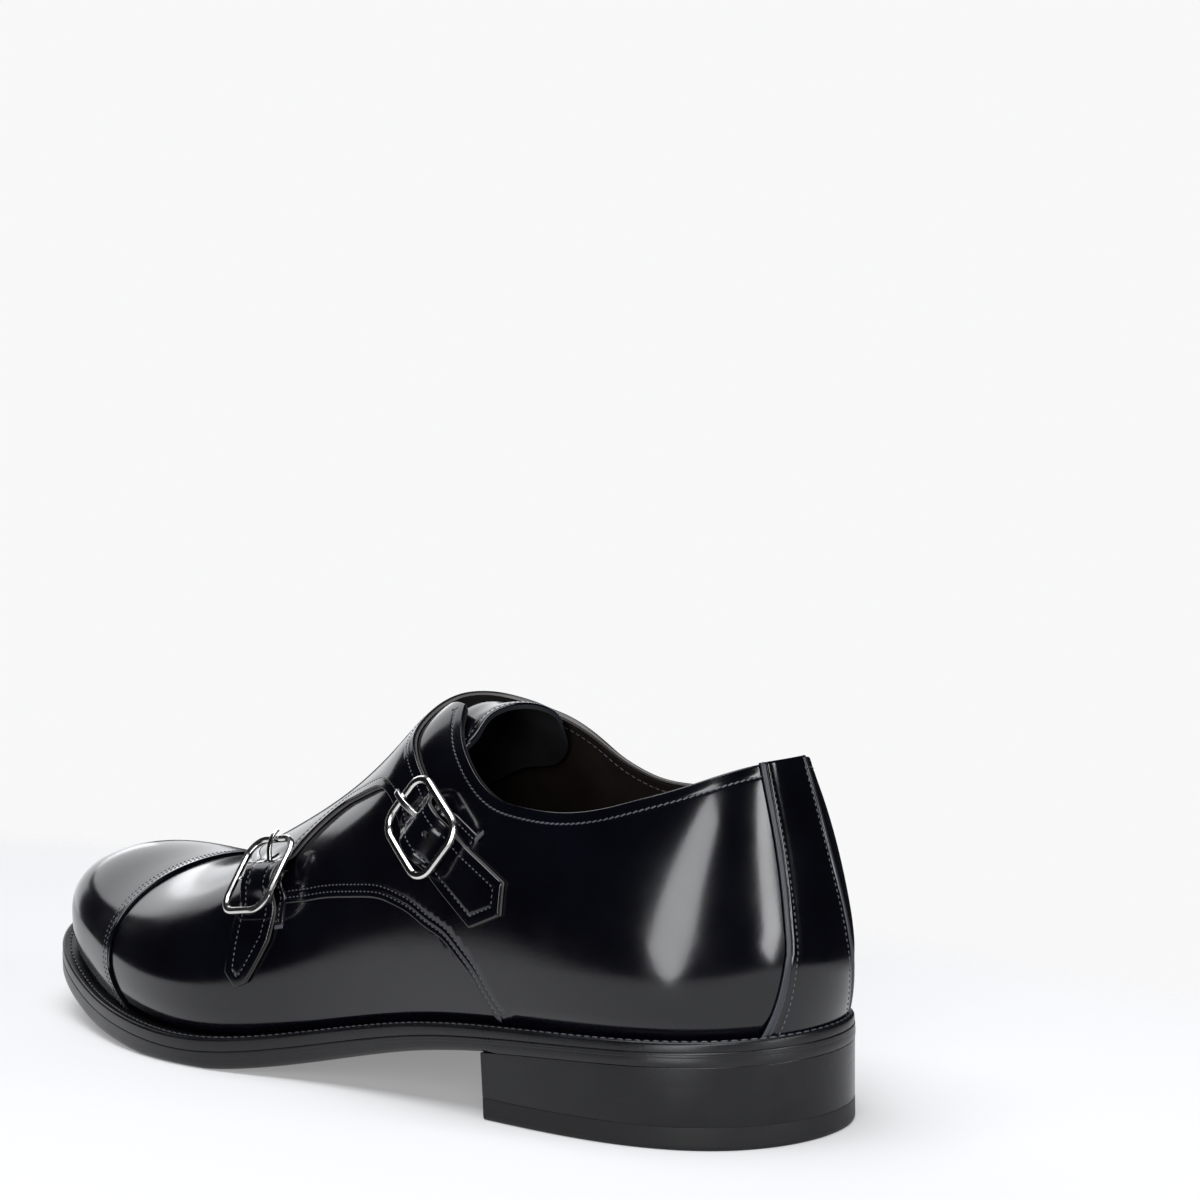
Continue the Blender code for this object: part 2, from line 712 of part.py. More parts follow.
BACK_STRIP = table("turn station", (
    (0.50, 2.2), (0.60, 1.9), (0.75, 1.7), (0.85, 1.8), (0.93, 2.1), (1.0, 2.5), (1.3, 2.8), (1.6, 3.6),
    (1.8, 4.4), (2.0, 5.4),
))


def back_strip():
    faces = []
    down = np.linspace(0, 1, 15)
    for half in (1, -1):
        fraction = np.linspace(0, 1, 5)[None, :]
        top = np.abs(topline(WIDEST.first + 2.2 * fraction**2, half)) + 0.008
        turn = top + (LOW_END - top) * down[:, None]
        station = WIDEST.first + (BACK_STRIP["station"](turn) - WIDEST.first) * fraction**2
        angle = WIDEST.angle(station)
        angle[:, 0] = 0.0
        faces += thick_sheet(angle, half * turn, STRIP_LIFT + BACK_STRIP_THICKNESS, STRIP_LIFT)
    return solid(faces)


# ---- bottom pieces -------------------------------------------------------------------------------
BOTTOM_ROWS = 40


def bottom_stations(plan, breast=None, rows=BOTTOM_ROWS):
    share = np.linspace(0, 1, rows + 1)
    if breast is None:
        return plan.first + (plan.last - plan.first) * (1 - np.cos(np.pi * share)) / 2
    return plan.first + (breast - plan.first) * (1 - np.cos(np.pi * share / 2))


def level(inset, height, breast=None, rows=BOTTOM_ROWS):
    """The lateral and medial lines of one level of a plate, as world points by row."""
    plan = Plan(inset)
    station = bottom_stations(plan, breast, rows)
    angle = plan.angle(station)
    lines = []
    for side in (1, -1):
        lines.append(to_world(np.column_stack([plan.side(side, angle), station, height(station)])))
    return lines


def plate(levels, breast=None, rows=BOTTOM_ROWS):
    """A closed plate through levels from its bottom face to its top face, cut off at a heel breast."""
    lines = [level(inset, height, breast, rows) for inset, height in levels]
    loop = [lateral for lateral, _ in lines] + [medial for _, medial in reversed(lines)]
    grid = np.stack(loop + loop[:1], 1)
    faces = list(sheet_faces(grid))
    if breast is not None:
        faces.append([line[-1] for line in loop])
    return solid(faces)


def ring_plate(outer, inner, bottom, top):
    """A closed ring between two insets, once round the shoe."""
    corners = [level(outer, bottom), level(outer, top), level(inner, top), level(inner, bottom)]
    faces = []
    for half in (0, 1):
        loop = [lines[half] for lines in corners]
        faces += sheet_faces(np.stack(loop + loop[:1], 1))
    return solid(faces)


def underside(station):
    return np.maximum(SOLE["underside"](station), 0.0)


def outsole_top(station):
    return SOLE["underside"](station) + OUTSOLE_SHARE * SOLE["edge_thickness"](station)


def outsole():
    return plate((
        (1.2, underside),
        (0.4, lambda station: underside(station) + 0.6),
        (0.0, lambda station: underside(station) + 1.6),
        (0.2, outsole_top),
    ))


def welt():
    return ring_plate(
        0.4,
        WELT_WIDTH + WELT_REACH_IN,
        lambda station: outsole_top(station) + GAP,
        lambda station: welt_top(station) - GAP,
    )


def cork_filler():
    inset = WELT_WIDTH + WELT_REACH_IN + GAP
    return plate((
        (inset, lambda station: outsole_top(station) + GAP),
        (inset, lambda station: welt_top(station) - GAP),
    ))


def insole():
    inset = WELT_WIDTH + WALL + GAP + 0.1
    return plate((
        (inset, lambda station: welt_top(station) + 0.05),
        (inset, lambda station: welt_top(station) + INSOLE_THICKNESS),
    ))


def heel_block():
    rows = 18
    return plate((
        (HEEL_TAPER, lambda station: np.full_like(station, TOP_LIFT + GAP)),
        (HEEL_TAPER * 0.3, lambda station: SOLE["underside"](station) - GAP),
    ), HEEL_BREAST, rows)


def top_lift():
    rows = 18
    return plate((
        (HEEL_TAPER + 0.8, lambda station: np.zeros_like(station)),
        (HEEL_TAPER + 0.1, lambda station: np.full_like(station, 0.7)),
        (HEEL_TAPER, lambda station: np.full_like(station, TOP_LIFT)),
    ), HEEL_BREAST, rows)


# ---- metal ---------------------------------------------------------------------------------------
def loop_points(along, across, radius, arc_steps):
    """A rounded rectangle round the middle, as (along, across) pairs with their outward directions."""
    points = []
    for quarter in range(4):
        start = quarter * np.pi / 2
        sign = np.array([(1, 1), (-1, 1), (-1, -1), (1, -1)][quarter])
        middle = sign * (along / 2 - radius, across / 2 - radius)
        for k in range(arc_steps + 1):
            bearing = start + k / arc_steps * np.pi / 2
            outward = np.array([np.cos(bearing), np.sin(bearing)])
            points.append((middle + radius * outward, outward))
    return points


def buckle_frame(seat):
    """The frame as a flat rounded band, once round."""
    half_band, half_depth, edge = FRAME_BAND / 2, FRAME_DEPTH / 2, 0.45
    section = (
        (half_band, half_depth - edge), (half_band - edge, half_depth), (-half_band + edge, half_depth),
        (-half_band, half_depth - edge), (-half_band, -half_depth + edge), (-half_band + edge, -half_depth),
        (half_band - edge, -half_depth), (half_band, -half_depth + edge),
    )
    middle = loop_points(FRAME_ALONG - FRAME_BAND, FRAME_ACROSS - FRAME_BAND, FRAME_CORNER - half_band, 3)
    rings = []
    for point, outward in middle:
        height = FRAME_HEIGHT - FRAME_BOW * (2 * point[0] / FRAME_ALONG) ** 2
        ring = [seat.place(*(point + outward * out), height + up) for out, up in section]
        rings.append(ring + ring[:1])
    return solid(list(sheet_faces(np.array(rings + rings[:1]))))


BAR_SECTION = ((1, 0.6), (0.6, 1), (-0.6, 1), (-1, 0.6), (-1, -0.6), (-0.6, -1), (0.6, -1), (1, -0.6))


def rod(seat, path, width, thickness):
    """A closed bar of this section along (along, height) points of a seat's middle plane."""
    path = np.array(path, float)
    heading = np.gradient(path, axis=0)
    heading /= np.linalg.norm(heading, axis=1)[:, None]
    rings = []
    for (along, height), (run, climb) in zip(path, heading):
        ring = []
        for side, up in BAR_SECTION:
            shift = up * thickness / 2
            ring.append(seat.place(along - climb * shift, side * width / 2, height + run * shift))
        rings.append(ring)
    faces = list(sheet_faces(np.array([ring + ring[:1] for ring in rings])))
    return solid(faces + [rings[0], rings[-1]])


def centre_bar(seat):
    """A round bar across below the frame, its ends turned up into the frame's sides."""
    reach = FRAME_ACROSS / 2 - FRAME_BAND / 2
    corner = np.array([np.sqrt(0.5), np.sqrt(0.5)])
    path = (
        ((-reach, FRAME_HEIGHT), (1, 0)), ((-reach, BAR_HEIGHT), corner),
        ((reach, BAR_HEIGHT), corner * (-1, 1)), ((reach, FRAME_HEIGHT), (-1, 0)),
    )
    bearing = np.linspace(0, 2 * np.pi, 9)
    rings = []
    for (across, height), (inward, upward) in path:
        stretch = 1 / max(abs(inward), abs(upward)) if upward else 1
        shift = BAR_RADIUS * stretch * np.sin(bearing)
        around = BAR_RADIUS * np.cos(bearing)
        rings.append(seat.place(around, across + inward * shift, height + upward * shift))
    return solid(list(sheet_faces(np.array(rings))) + [rings[0][:-1], rings[-1][:-1]])


PRONG_PATH = (
    (-1.6, 2.6), (-3.2, 2.45), (-4.6, 2.7), (-6.2, 3.6), (-8.2, 4.9), (-10.2, 5.7), (-12.2, 5.9),
    (-14.0, 5.8), (-15.0, 5.4),
)


def union(base, added):
    """Joins a hidden object to the base with a Boolean modifier."""
    added.hide_render = True
    added.display_type = "WIRE"
    joined = base.modifiers.new("join " + added.name, "BOOLEAN")
    joined.operation = "UNION"
    joined.solver = "EXACT"
    joined.object = added


def main():
    for old in list(bpy.data.objects):
        bpy.data.objects.remove(old, do_unlink=True)
    leather = material("black polished leather", (0.008, 0.009, 0.013), 0.16)
    overlay = material("black leather overlay", (0.008, 0.009, 0.013), 0.18)
    lining = material("dark brown lining", (0.045, 0.032, 0.022), 0.6)
    edge_finish = material("black edge finish", (0.010, 0.010, 0.011), 0.42)
    heel_finish = material("black heel leather", (0.010, 0.010, 0.011), 0.34)
    rubber = material("black rubber", (0.012, 0.012, 0.012), 0.5)
    cork = material("cork", (0.32, 0.20, 0.10), 0.9)
    nickel = material("polished nickel", (0.72, 0.70, 0.67), 0.12, 1.0)
    sharp = np.radians(40)

    upper = add_object("upper", upper_shell(), leather, sharp)
    union(upper, add_object("flap and straps", flap(), leather, sharp))
    add_object("toe_cap", toe_cap(), overlay, sharp)
    add_object("back_strip", back_strip(), overlay, sharp)
    add_object("tongue", tongue(), overlay, sharp)
    add_object("insole", insole(), lining, sharp)
    add_object("cork_filler", cork_filler(), cork, sharp)
    add_object("welt", welt(), edge_finish, sharp)
    add_object("outsole", outsole(), edge_finish, sharp)
    add_object("heel_block", heel_block(), heel_finish, sharp)
    add_object("top_lift", top_lift(), rubber, sharp)
    for seat in SEATS:
        frame = add_object("buckle_frame_" + seat.name, buckle_frame(seat), nickel, sharp)
        union(frame, add_object("bar " + seat.name, centre_bar(seat), nickel))
        add_object("prong_" + seat.name, rod(seat, PRONG_PATH, 1.6, 1.0), nickel, sharp)
        add_object("buckle_tab_" + seat.name, tab(seat), overlay, sharp)


if __name__ == "__main__":
    main()
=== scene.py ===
"""Looks of a left cap-toe double monk strap shoe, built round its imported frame.

Lengths are in millimetres until a mesh is made. +Z is up, the toe points along -Y and the buckle side,
the lateral side, is +X. A station is a distance along the shoe from the heel's back. A turn is a place
across it: 0 on the ridge, 1 on the widest line, 2 on the feather edge, positive on the lateral side.
A lift is a distance out from the last's surface.
"""

import bpy
import numpy as np
from mathutils import Matrix, Vector
from mathutils.geometry import delaunay_2d_cdt
from mathutils.kdtree import KDTree


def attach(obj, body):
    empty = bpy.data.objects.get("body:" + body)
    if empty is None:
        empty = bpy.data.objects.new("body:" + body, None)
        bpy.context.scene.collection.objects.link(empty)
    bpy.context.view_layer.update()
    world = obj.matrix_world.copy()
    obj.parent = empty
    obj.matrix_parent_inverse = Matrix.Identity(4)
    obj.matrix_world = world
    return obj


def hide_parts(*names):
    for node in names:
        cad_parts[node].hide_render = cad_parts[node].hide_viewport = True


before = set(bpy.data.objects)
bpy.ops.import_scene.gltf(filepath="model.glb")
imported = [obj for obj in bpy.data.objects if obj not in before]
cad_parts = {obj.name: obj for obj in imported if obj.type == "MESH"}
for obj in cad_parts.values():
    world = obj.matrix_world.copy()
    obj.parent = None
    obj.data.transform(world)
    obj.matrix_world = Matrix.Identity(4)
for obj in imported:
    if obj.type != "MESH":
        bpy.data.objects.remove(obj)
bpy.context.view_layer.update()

MM = 0.001
CENTRE_STATION = 151.55
CENTRE_SIDE = -1.8

# ---- the last, as in the frame -------------------------------------------------------------------
TOE_ROLL = 39.0
TOE_ROUNDING = 2.5
TIP_FADE = 20.0
BACK_LEAN = 16.0
BACK_LEAN_FADE = 45.0
BACK_LEAN_POWER = 1.15
UNDERCUT_POWER = 2.4
OUTSOLE_SHARE = 0.58
HEEL_BREAST = 82.5
HEEL_TAPER = 0.5
TOP_LIFT = 6.0
CAP_SEAM, CAP_SEAM_BOW = 243.5, 3.2

SOLE_PLAN = (
    (0.2, -0.5), (9.8, 21.5), (34.5, 35.0), (80.0, 39.3), (120.0, 39.6), (158.0, 42.8), (192.0, 49.6),
    (230.0, 46.8), (264.0, 36.2), (292.3, 21.3), (304.2, -3.0), (293.3, -26.5), (268.0, -43.5),
    (236.0, -52.3), (204.0, -53.0), (168.0, -43.5), (122.0, -31.5), (78.0, -32.6), (36.0, -37.0),
    (7.1, -24.0),
)
PLAN_SPACING_POWER = 0.7
PLAN_SAMPLES = 9600
PLAN_NODES = 181


def unit(vectors):
    """Vectors scaled to a length of one."""
    return vectors / np.maximum(np.linalg.norm(vectors, axis=-1, keepdims=True), 1e-12)


def lengths_along(points, power=1.0):
    """Lengths from a line's first point, or down a grid from its first row."""
    steps = np.linalg.norm(np.diff(points, axis=0), axis=-1) ** power
    return np.concatenate([np.zeros_like(steps[:1]), np.cumsum(steps, axis=0)])


def ease(value):
    share = np.clip(value, 0, 1)
    return share * share * (3 - 2 * share)


def spline(places, values, closed=False):
    """A cubic spline through the values: natural at its ends, or once round when closed."""
    x = np.asarray(places, float)
    y = np.asarray(values, float)
    h = np.diff(x)
    count = len(x) - 1 if closed else len(x)
    matrix = np.zeros((count, count))
    right = np.zeros((count,) + y.shape[1:])
    for i in range(count):
        if not closed and i in (0, count - 1):
            matrix[i, i] = 1.0
            continue
        before, after = h[i - 1], h[i]
        last = y[(i - 1) % count] if closed else y[i - 1]
        matrix[i, (i - 1) % count] += before
        matrix[i, i] += 2 * (before + after)
        matrix[i, (i + 1) % count] += after
        right[i] = 6 * ((y[i + 1] - y[i]) / after - (y[i] - last) / before)
    bend = np.linalg.solve(matrix, right)
    if closed:
        bend = np.concatenate([bend, bend[:1]])

    def value(place):
        q = np.asarray(place, float)
        i = np.clip(np.searchsorted(x, q, side="right") - 1, 0, len(x) - 2)
        a, b, step = x[i + 1] - q, q - x[i], h[i]
        if y.ndim > 1:
            a, b, step = a[..., None], b[..., None], step[..., None]
        cubic = (bend[i] * a**3 + bend[i + 1] * b**3) / (6 * step)
        start = (y[i] / step - bend[i] * step / 6) * a
        return cubic + start + (y[i + 1] / step - bend[i + 1] * step / 6) * b

    return value


def table(columns, rows):
    """A spline for each named column over the first one."""
    rows = np.array(rows, float)
    return {name: spline(rows[:, 0], rows[:, i + 1]) for i, name in enumerate(columns.split()[1:])}


SOLE = table("station underside edge_thickness", (
    (0, 21.6, 6.6), (78, 18.6, 6.7), (108, 14.8, 7.6), (148, 6.2, 8.8), (186, 0.1, 9.0),
    (205, -0.45, 9.0), (230, 0.9, 9.0), (262, 5.0, 9.0), (285, 11.5, 9.0), (304, 17.8, 9.0),
))
EDGE = table("station welt_lateral welt_medial undercut_lateral undercut_medial widest_rise", (
    (0, 2.6, 2.6, 2.6, 2.6, 20), (40, 2.8, 2.8, 2.6, 2.6, 20), (85, 3.6, 3.2, 2.5, 4.0, 20),
    (130, 4.4, 4.0, 2.5, 6.0, 19), (170, 5.2, 5.0, 3.2, 5.0, 15), (205, 5.6, 5.6, 3.6, 3.6, 12),
    (250, 6.0, 6.0, 2.6, 2.6, 11), (304, 6.8, 6.8, 1.8, 1.8, 8),
))
RIDGE = table("station height boxiness shear", (
    (0, 111.0, 2.60, 0.0), (40, 106.5, 2.60, 0.0), (80, 105.5, 2.50, -1.0), (106, 107.6, 2.35, -2.8),
    (122, 106.8, 2.28, -4.0), (135, 98.2, 2.20, -5.0), (160, 80.9, 2.10, -6.5), (190, 64.6, 2.10, -6.5),
    (220, 52.8, 2.20, -5.0), (250, 48.6, 2.35, -3.0), (275, 50.8, 2.45, -1.5), (304, 51.0, 2.50, 0.0),
))


def sole_curve():
    """(points, outward normals) of the sole's edge in plan, as (station, side) pairs."""
    plan = np.array(SOLE_PLAN + SOLE_PLAN[:1])
    along = lengths_along(plan, PLAN_SPACING_POWER)
    points = spline(along, plan, closed=True)(np.linspace(0.0, along[-1], PLAN_SAMPLES + 1)[:-1])
    tangent = np.roll(points, -1, 0) - np.roll(points, 1, 0)
    normal = np.column_stack([-tangent[:, 1], tangent[:, 0]])
    return points, unit(normal)


SOLE_POINTS, SOLE_NORMALS = sole_curve()


def lateral_share():
    """1 along the lateral half of the plan and 0 along the medial half, eased at both ends."""
    place = np.arange(PLAN_SAMPLES)
    tip = int(np.argmax(SOLE_POINTS[:, 0]))
    turned = np.where(place <= tip, place / tip, 1 + (place - tip) / (PLAN_SAMPLES - tip)) * np.pi
    return 0.5 + 0.5 * np.tanh(4 * np.sin(turned))


SHARE = lateral_share()


def by_side(name):
    station = SOLE_POINTS[:, 0]
    return SHARE * EDGE[name + "_lateral"](station) + (1 - SHARE) * EDGE[name + "_medial"](station)


WELT_WIDTH = by_side("welt")
UNDERCUT = by_side("undercut")


class Plan:
    """A closed plan curve at an inset from the sole's edge, read on each side by angle: 0 at the
    heel's back and pi at the tip."""

    def __init__(self, inset):
        points = SOLE_POINTS - SOLE_NORMALS * np.broadcast_to(inset, PLAN_SAMPLES)[:, None]
        start = int(np.argmin(points[:, 0]))
        order = np.roll(np.arange(PLAN_SAMPLES), -start)
        tip = int(np.argmax(points[order, 0]))
        self.first = points[order[0], 0]
        self.last = points[order[tip], 0]
        held = np.column_stack([points[:, 1], SOLE_NORMALS, UNDERCUT])
        nodes = np.linspace(0, np.pi, PLAN_NODES)
        self.halves = {}
        medial = np.concatenate([order[:1], order[: tip - 1 : -1]])
        for side, index in ((1, order[: tip + 1]), (-1, medial)):
            angle = np.maximum.accumulate(self.angle(points[index, 0]))
            values = [np.interp(nodes, angle, column) for column in held[index].T]
            self.halves[side] = spline(nodes, np.column_stack(values))

    def angle(self, station):
        return np.arccos(np.clip(1 - 2 * (station - self.first) / (self.last - self.first), -1, 1))

    def station(self, angle):
        return self.first + (self.last - self.first) * (1 - np.cos(angle)) / 2

    def side(self, side, angle):
        return self.halves[side](angle)[..., 0]


WIDEST = Plan(WELT_WIDTH - UNDERCUT)


def welt_top(station):
    return SOLE["underside"](station) + SOLE["edge_thickness"](station)


def above_widest(angle, turn):
    station = WIDEST.station(angle)
    lateral, medial = WIDEST.side(1, angle), WIDEST.side(-1, angle)
    across = np.clip(turn, -1, 1) * np.pi / 2
    crown = np.cos(across) ** 2
    boxiness = RIDGE["boxiness"](station)
    base = welt_top(station) + EDGE["widest_rise"](station)
    from_tip = np.clip((WIDEST.last - station) / TOE_ROLL, 0, 1)
    rise = (RIDGE["height"](station) - base) * (1 - (1 - from_tip) ** TOE_ROUNDING) ** (1 / boxiness)
    before_tip = np.clip((WIDEST.last - station) / TIP_FADE, 0, 1)
    side = (lateral + medial) / 2 + (lateral - medial) / 2 * np.sin(across)
    side = side + RIDGE["shear"](station) * before_tip * crown
    lean = BACK_LEAN * np.exp(-(station - WIDEST.first) / BACK_LEAN_FADE) * before_tip
    level = crown ** (1 / boxiness)
    return np.stack([side, station + lean * level**BACK_LEAN_POWER, base + rise * level], -1)


def below_widest(angle, turn, half):
    down = np.clip(np.abs(turn) - 1, 0, 1)
    side, normal_station, normal_side, undercut = np.moveaxis(WIDEST.halves[half](angle), -1, 0)
    under = undercut * down**UNDERCUT_POWER
    station = WIDEST.station(angle)
    height = welt_top(station) + EDGE["widest_rise"](station) * (1 - down)
    return np.stack([side - normal_side * under, station - normal_station * under, height], -1)


def to_world(point):
    side, station, height = point[..., 0], point[..., 1], point[..., 2]
    return np.stack([side - CENTRE_SIDE, CENTRE_STATION - station, height], -1)


# The widest line is rounded over this much turn, out to this reach; above it turns count for more.
SOFTENING, SOFT_REACH, STEEPER_ABOVE = 0.26, 0.5, 6.0
SOFT_SHARES = np.linspace(-1, 1, 9)
SOFT_TAPER = 1.3
SOFT_WEIGHTS = np.cos(SOFT_SHARES * SOFT_TAPER) ** 2
SOFT_WEIGHTS = SOFT_WEIGHTS / SOFT_WEIGHTS.sum()


def sharp_point(angle, turn):
    lateral = (turn > 0)[..., None]
    low = np.where(lateral, below_widest(angle, turn, 1), below_widest(angle, turn, -1))
    return to_world(np.where((np.abs(turn) > 1)[..., None], low, above_widest(angle, turn)))


def last_point(angle, turn):
    """The last's surface, as world millimetres, with its widest line rounded."""
    angle, turn = np.broadcast_arrays(np.asarray(angle, float), np.asarray(turn, float))
    made = sharp_point(angle, turn)
    below = np.abs(turn) - 1
    below = np.where(below < 0, below * STEEPER_ABOVE, below)
    share = ease(1 - np.abs(below) / SOFT_REACH)
    near = share > 0
    if near.any():
        width = SOFTENING * share[near]
        total = 0
        for at, weight in zip(SOFT_SHARES, SOFT_WEIGHTS):
            moved = below[near] + width * at
            moved = 1 + np.where(moved < 0, moved / STEEPER_ABOVE, moved)
            total = total + weight * sharp_point(angle[near], np.sign(turn[near]) * moved)
        made[near] = total
    return made


STEP = 1e-3


def last_normal(angle, turn):
    """Outward directions of the last's surface, level at the heel's back and at the tip."""
    angle, turn = np.broadcast_arrays(np.asarray(angle, float), np.asarray(turn, float))
    inside = np.clip(angle, 4 * STEP, np.pi - 4 * STEP)
    centre = (angle < STEP) | (angle > np.pi - STEP)
    pole = (angle > np.pi - STEP) & (np.abs(turn) <= 1)
    turn = np.where(centre, np.abs(turn), turn)
    along = last_point(inside + STEP, turn) - last_point(inside - STEP, turn)
    across = last_point(inside, turn + STEP) - last_point(inside, turn - STEP)
    normal = np.cross(along, across)
    normal[..., 0] = np.where(centre, 0.0, normal[..., 0])
    normal = np.where(pole[..., None], (0.0, -1.0, 0.0), normal)
    return unit(normal)


def on_last(angle, turn, lift):
    return last_point(angle, turn) + last_normal(angle, turn) * np.asarray(lift, float)[..., None]


# ---- the plane that panels are cut in: lengths along the widest line and down the side -----------
ANGLES = np.linspace(0, np.pi, 1441)
MAP_STATION = 80.0


def plan_lengths():
    total = 0
    for half in (1, -1):
        line = np.column_stack([WIDEST.station(ANGLES), WIDEST.side(half, ANGLES)])
        total = total + lengths_along(line) / 2
    return total


LENGTHS = plan_lengths()
PAST_EDGE_TURN, PAST_EDGE_LENGTH = 2.2, 4.0
TURNS = np.concatenate([1 - np.linspace(1, 0, 401) ** 2, np.linspace(1, 2, 101)[1:], [PAST_EDGE_TURN]])


def side_lengths():
    line = last_point(np.full(len(TURNS), WIDEST.angle(MAP_STATION)), np.minimum(TURNS, 2))
    length = lengths_along(line)
    length[-1] = length[-2] + PAST_EDGE_LENGTH
    return length


DEPTHS = side_lengths()


def to_plane(station, turn):
    station, turn = np.asarray(station, float), np.asarray(turn, float)
    x = np.interp(WIDEST.angle(station), ANGLES, LENGTHS)
    return np.stack(np.broadcast_arrays(x, np.sign(turn) * np.interp(np.abs(turn), TURNS, DEPTHS)), -1)


def from_plane(flat):
    """(angle, turn) of places in the plane."""
    x, y = flat[..., 0], flat[..., 1]
    return np.interp(x, LENGTHS, ANGLES), np.sign(y) * np.interp(np.abs(y), DEPTHS, TURNS)


def smooth_line(points, spacing):
    """Points in the plane along a spline through these (station, turn) points."""
    plane = to_plane(*np.array(points, float).T)
    along = lengths_along(plane)
    steps = max(2, int(round(along[-1] / spacing)))
    share = np.linspace(0, along[-1], steps + 1)
    if len(points) == 2:
        return plane[0] + (plane[1] - plane[0]) * (share / along[-1])[:, None]
    return spline(along, plane)(share)


def outline(lines, spacing):
    """A closed ring from lines that follow one another, and the number of each point's line."""
    parts = [smooth_line(line, spacing)[:-1] for line in lines]
    return np.concatenate(parts), np.concatenate([np.full(len(p), k) for k, p in enumerate(parts)])


def within(points, ring):
    """Which points of the plane lie inside a closed ring."""
    inside = np.zeros(len(points), int)
    x, y = points.T
    for (x0, y0), (x1, y1) in zip(ring, np.roll(ring, -1, 0)):
        if y0 != y1:
            inside += ((y0 > y) != (y1 > y)) & (x < x0 + (y - y0) * (x1 - x0) / (y1 - y0))
    return inside % 2 == 1


PLANE_STEP = 0.05
CLEAR_WITHIN = 0.06
OFFSET_STEPS, OFFSET_MOST = 3, 0.2
FAR = 1e9


class Ring:
    """A closed line on the last. Distances from it are true, and positive on its material's side."""

    def __init__(self, flat, lines=None, hole=False):
        self.flat = flat
        self.lines = np.zeros(len(flat), int) if lines is None else lines
        angle, turn = from_plane(flat)
        self.points = last_point(angle, turn)
        tangent = np.roll(self.points, -1, 0) - np.roll(self.points, 1, 0)
        area = (flat[:, 0] * np.roll(flat[:, 1], -1) - np.roll(flat[:, 0], -1) * flat[:, 1]).sum()
        sense = 1.0 if (area > 0) != hole else -1.0
        self.inward = unit(np.cross(last_normal(angle, turn), tangent) * sense)
        self.tree = KDTree(len(flat))
        for k, point in enumerate(self.points):
            self.tree.insert(point, k)
        self.tree.balance()

    def distance(self, points):
        """(distances, the number of the nearest line of the ring) of points on the last."""
        index = np.array([self.tree.find(p)[1] for p in points])
        best = np.full(len(points), FAR)
        for other in (index, (index - 1) % len(self.points)):
            start = self.points[other]
            span = self.points[(other + 1) % len(self.points)] - start
            share = np.clip(((points - start) * span).sum(1) / (span**2).sum(1), 0, 1)
            gap = points - (start + span * share[:, None])
            best = np.minimum(best, np.linalg.norm(gap, axis=1))
        side = ((points - self.points[index]) * self.inward[index]).sum(1)
        return np.where(side >= 0, best, -best), self.lines[index]

    def offset(self, depth):
        """The ring's points moved this far inward, in the plane, and which of them are clear."""
        def at(flat):
            return last_point(*from_plane(flat))

        here = self.flat
        moves = np.eye(2) * PLANE_STEP
        by_x, by_y = ((at(here + move) - at(here - move)) / (2 * PLANE_STEP) for move in moves)
        e, f, g = (by_x**2).sum(1), (by_x * by_y).sum(1), (by_y**2).sum(1)
        a, b = (by_x * self.inward).sum(1) * depth, (by_y * self.inward).sum(1) * depth
        det = np.maximum(e * g - f * f, 1e-9)
        heading = np.column_stack([(g * a - f * b) / det, (e * b - f * a) / det])
        moved = here + heading
        for _ in range(OFFSET_STEPS):
            short = depth - self.distance(at(moved))[0]
            moved = moved + heading * np.clip(short / depth, -OFFSET_MOST, OFFSET_MOST)[:, None]
        clear = np.abs(self.distance(at(moved))[0] - depth) < CLEAR_WITHIN
        return moved, clear


# ---- meshes --------------------------------------------------------------------------------------
def quads(rows, columns, closed=False):
    """Corner numbers over a grid of points, its last column joined to its first when closed."""
    index = np.arange(rows * columns).reshape(rows, columns)
    if closed:
        index = np.concatenate([index, index[:, :1]], 1)
    a, b, c, d = index[:-1, :-1], index[1:, :-1], index[1:, 1:], index[:-1, 1:]
    return np.stack([a, b, c, d], -1).reshape(-1, 4)


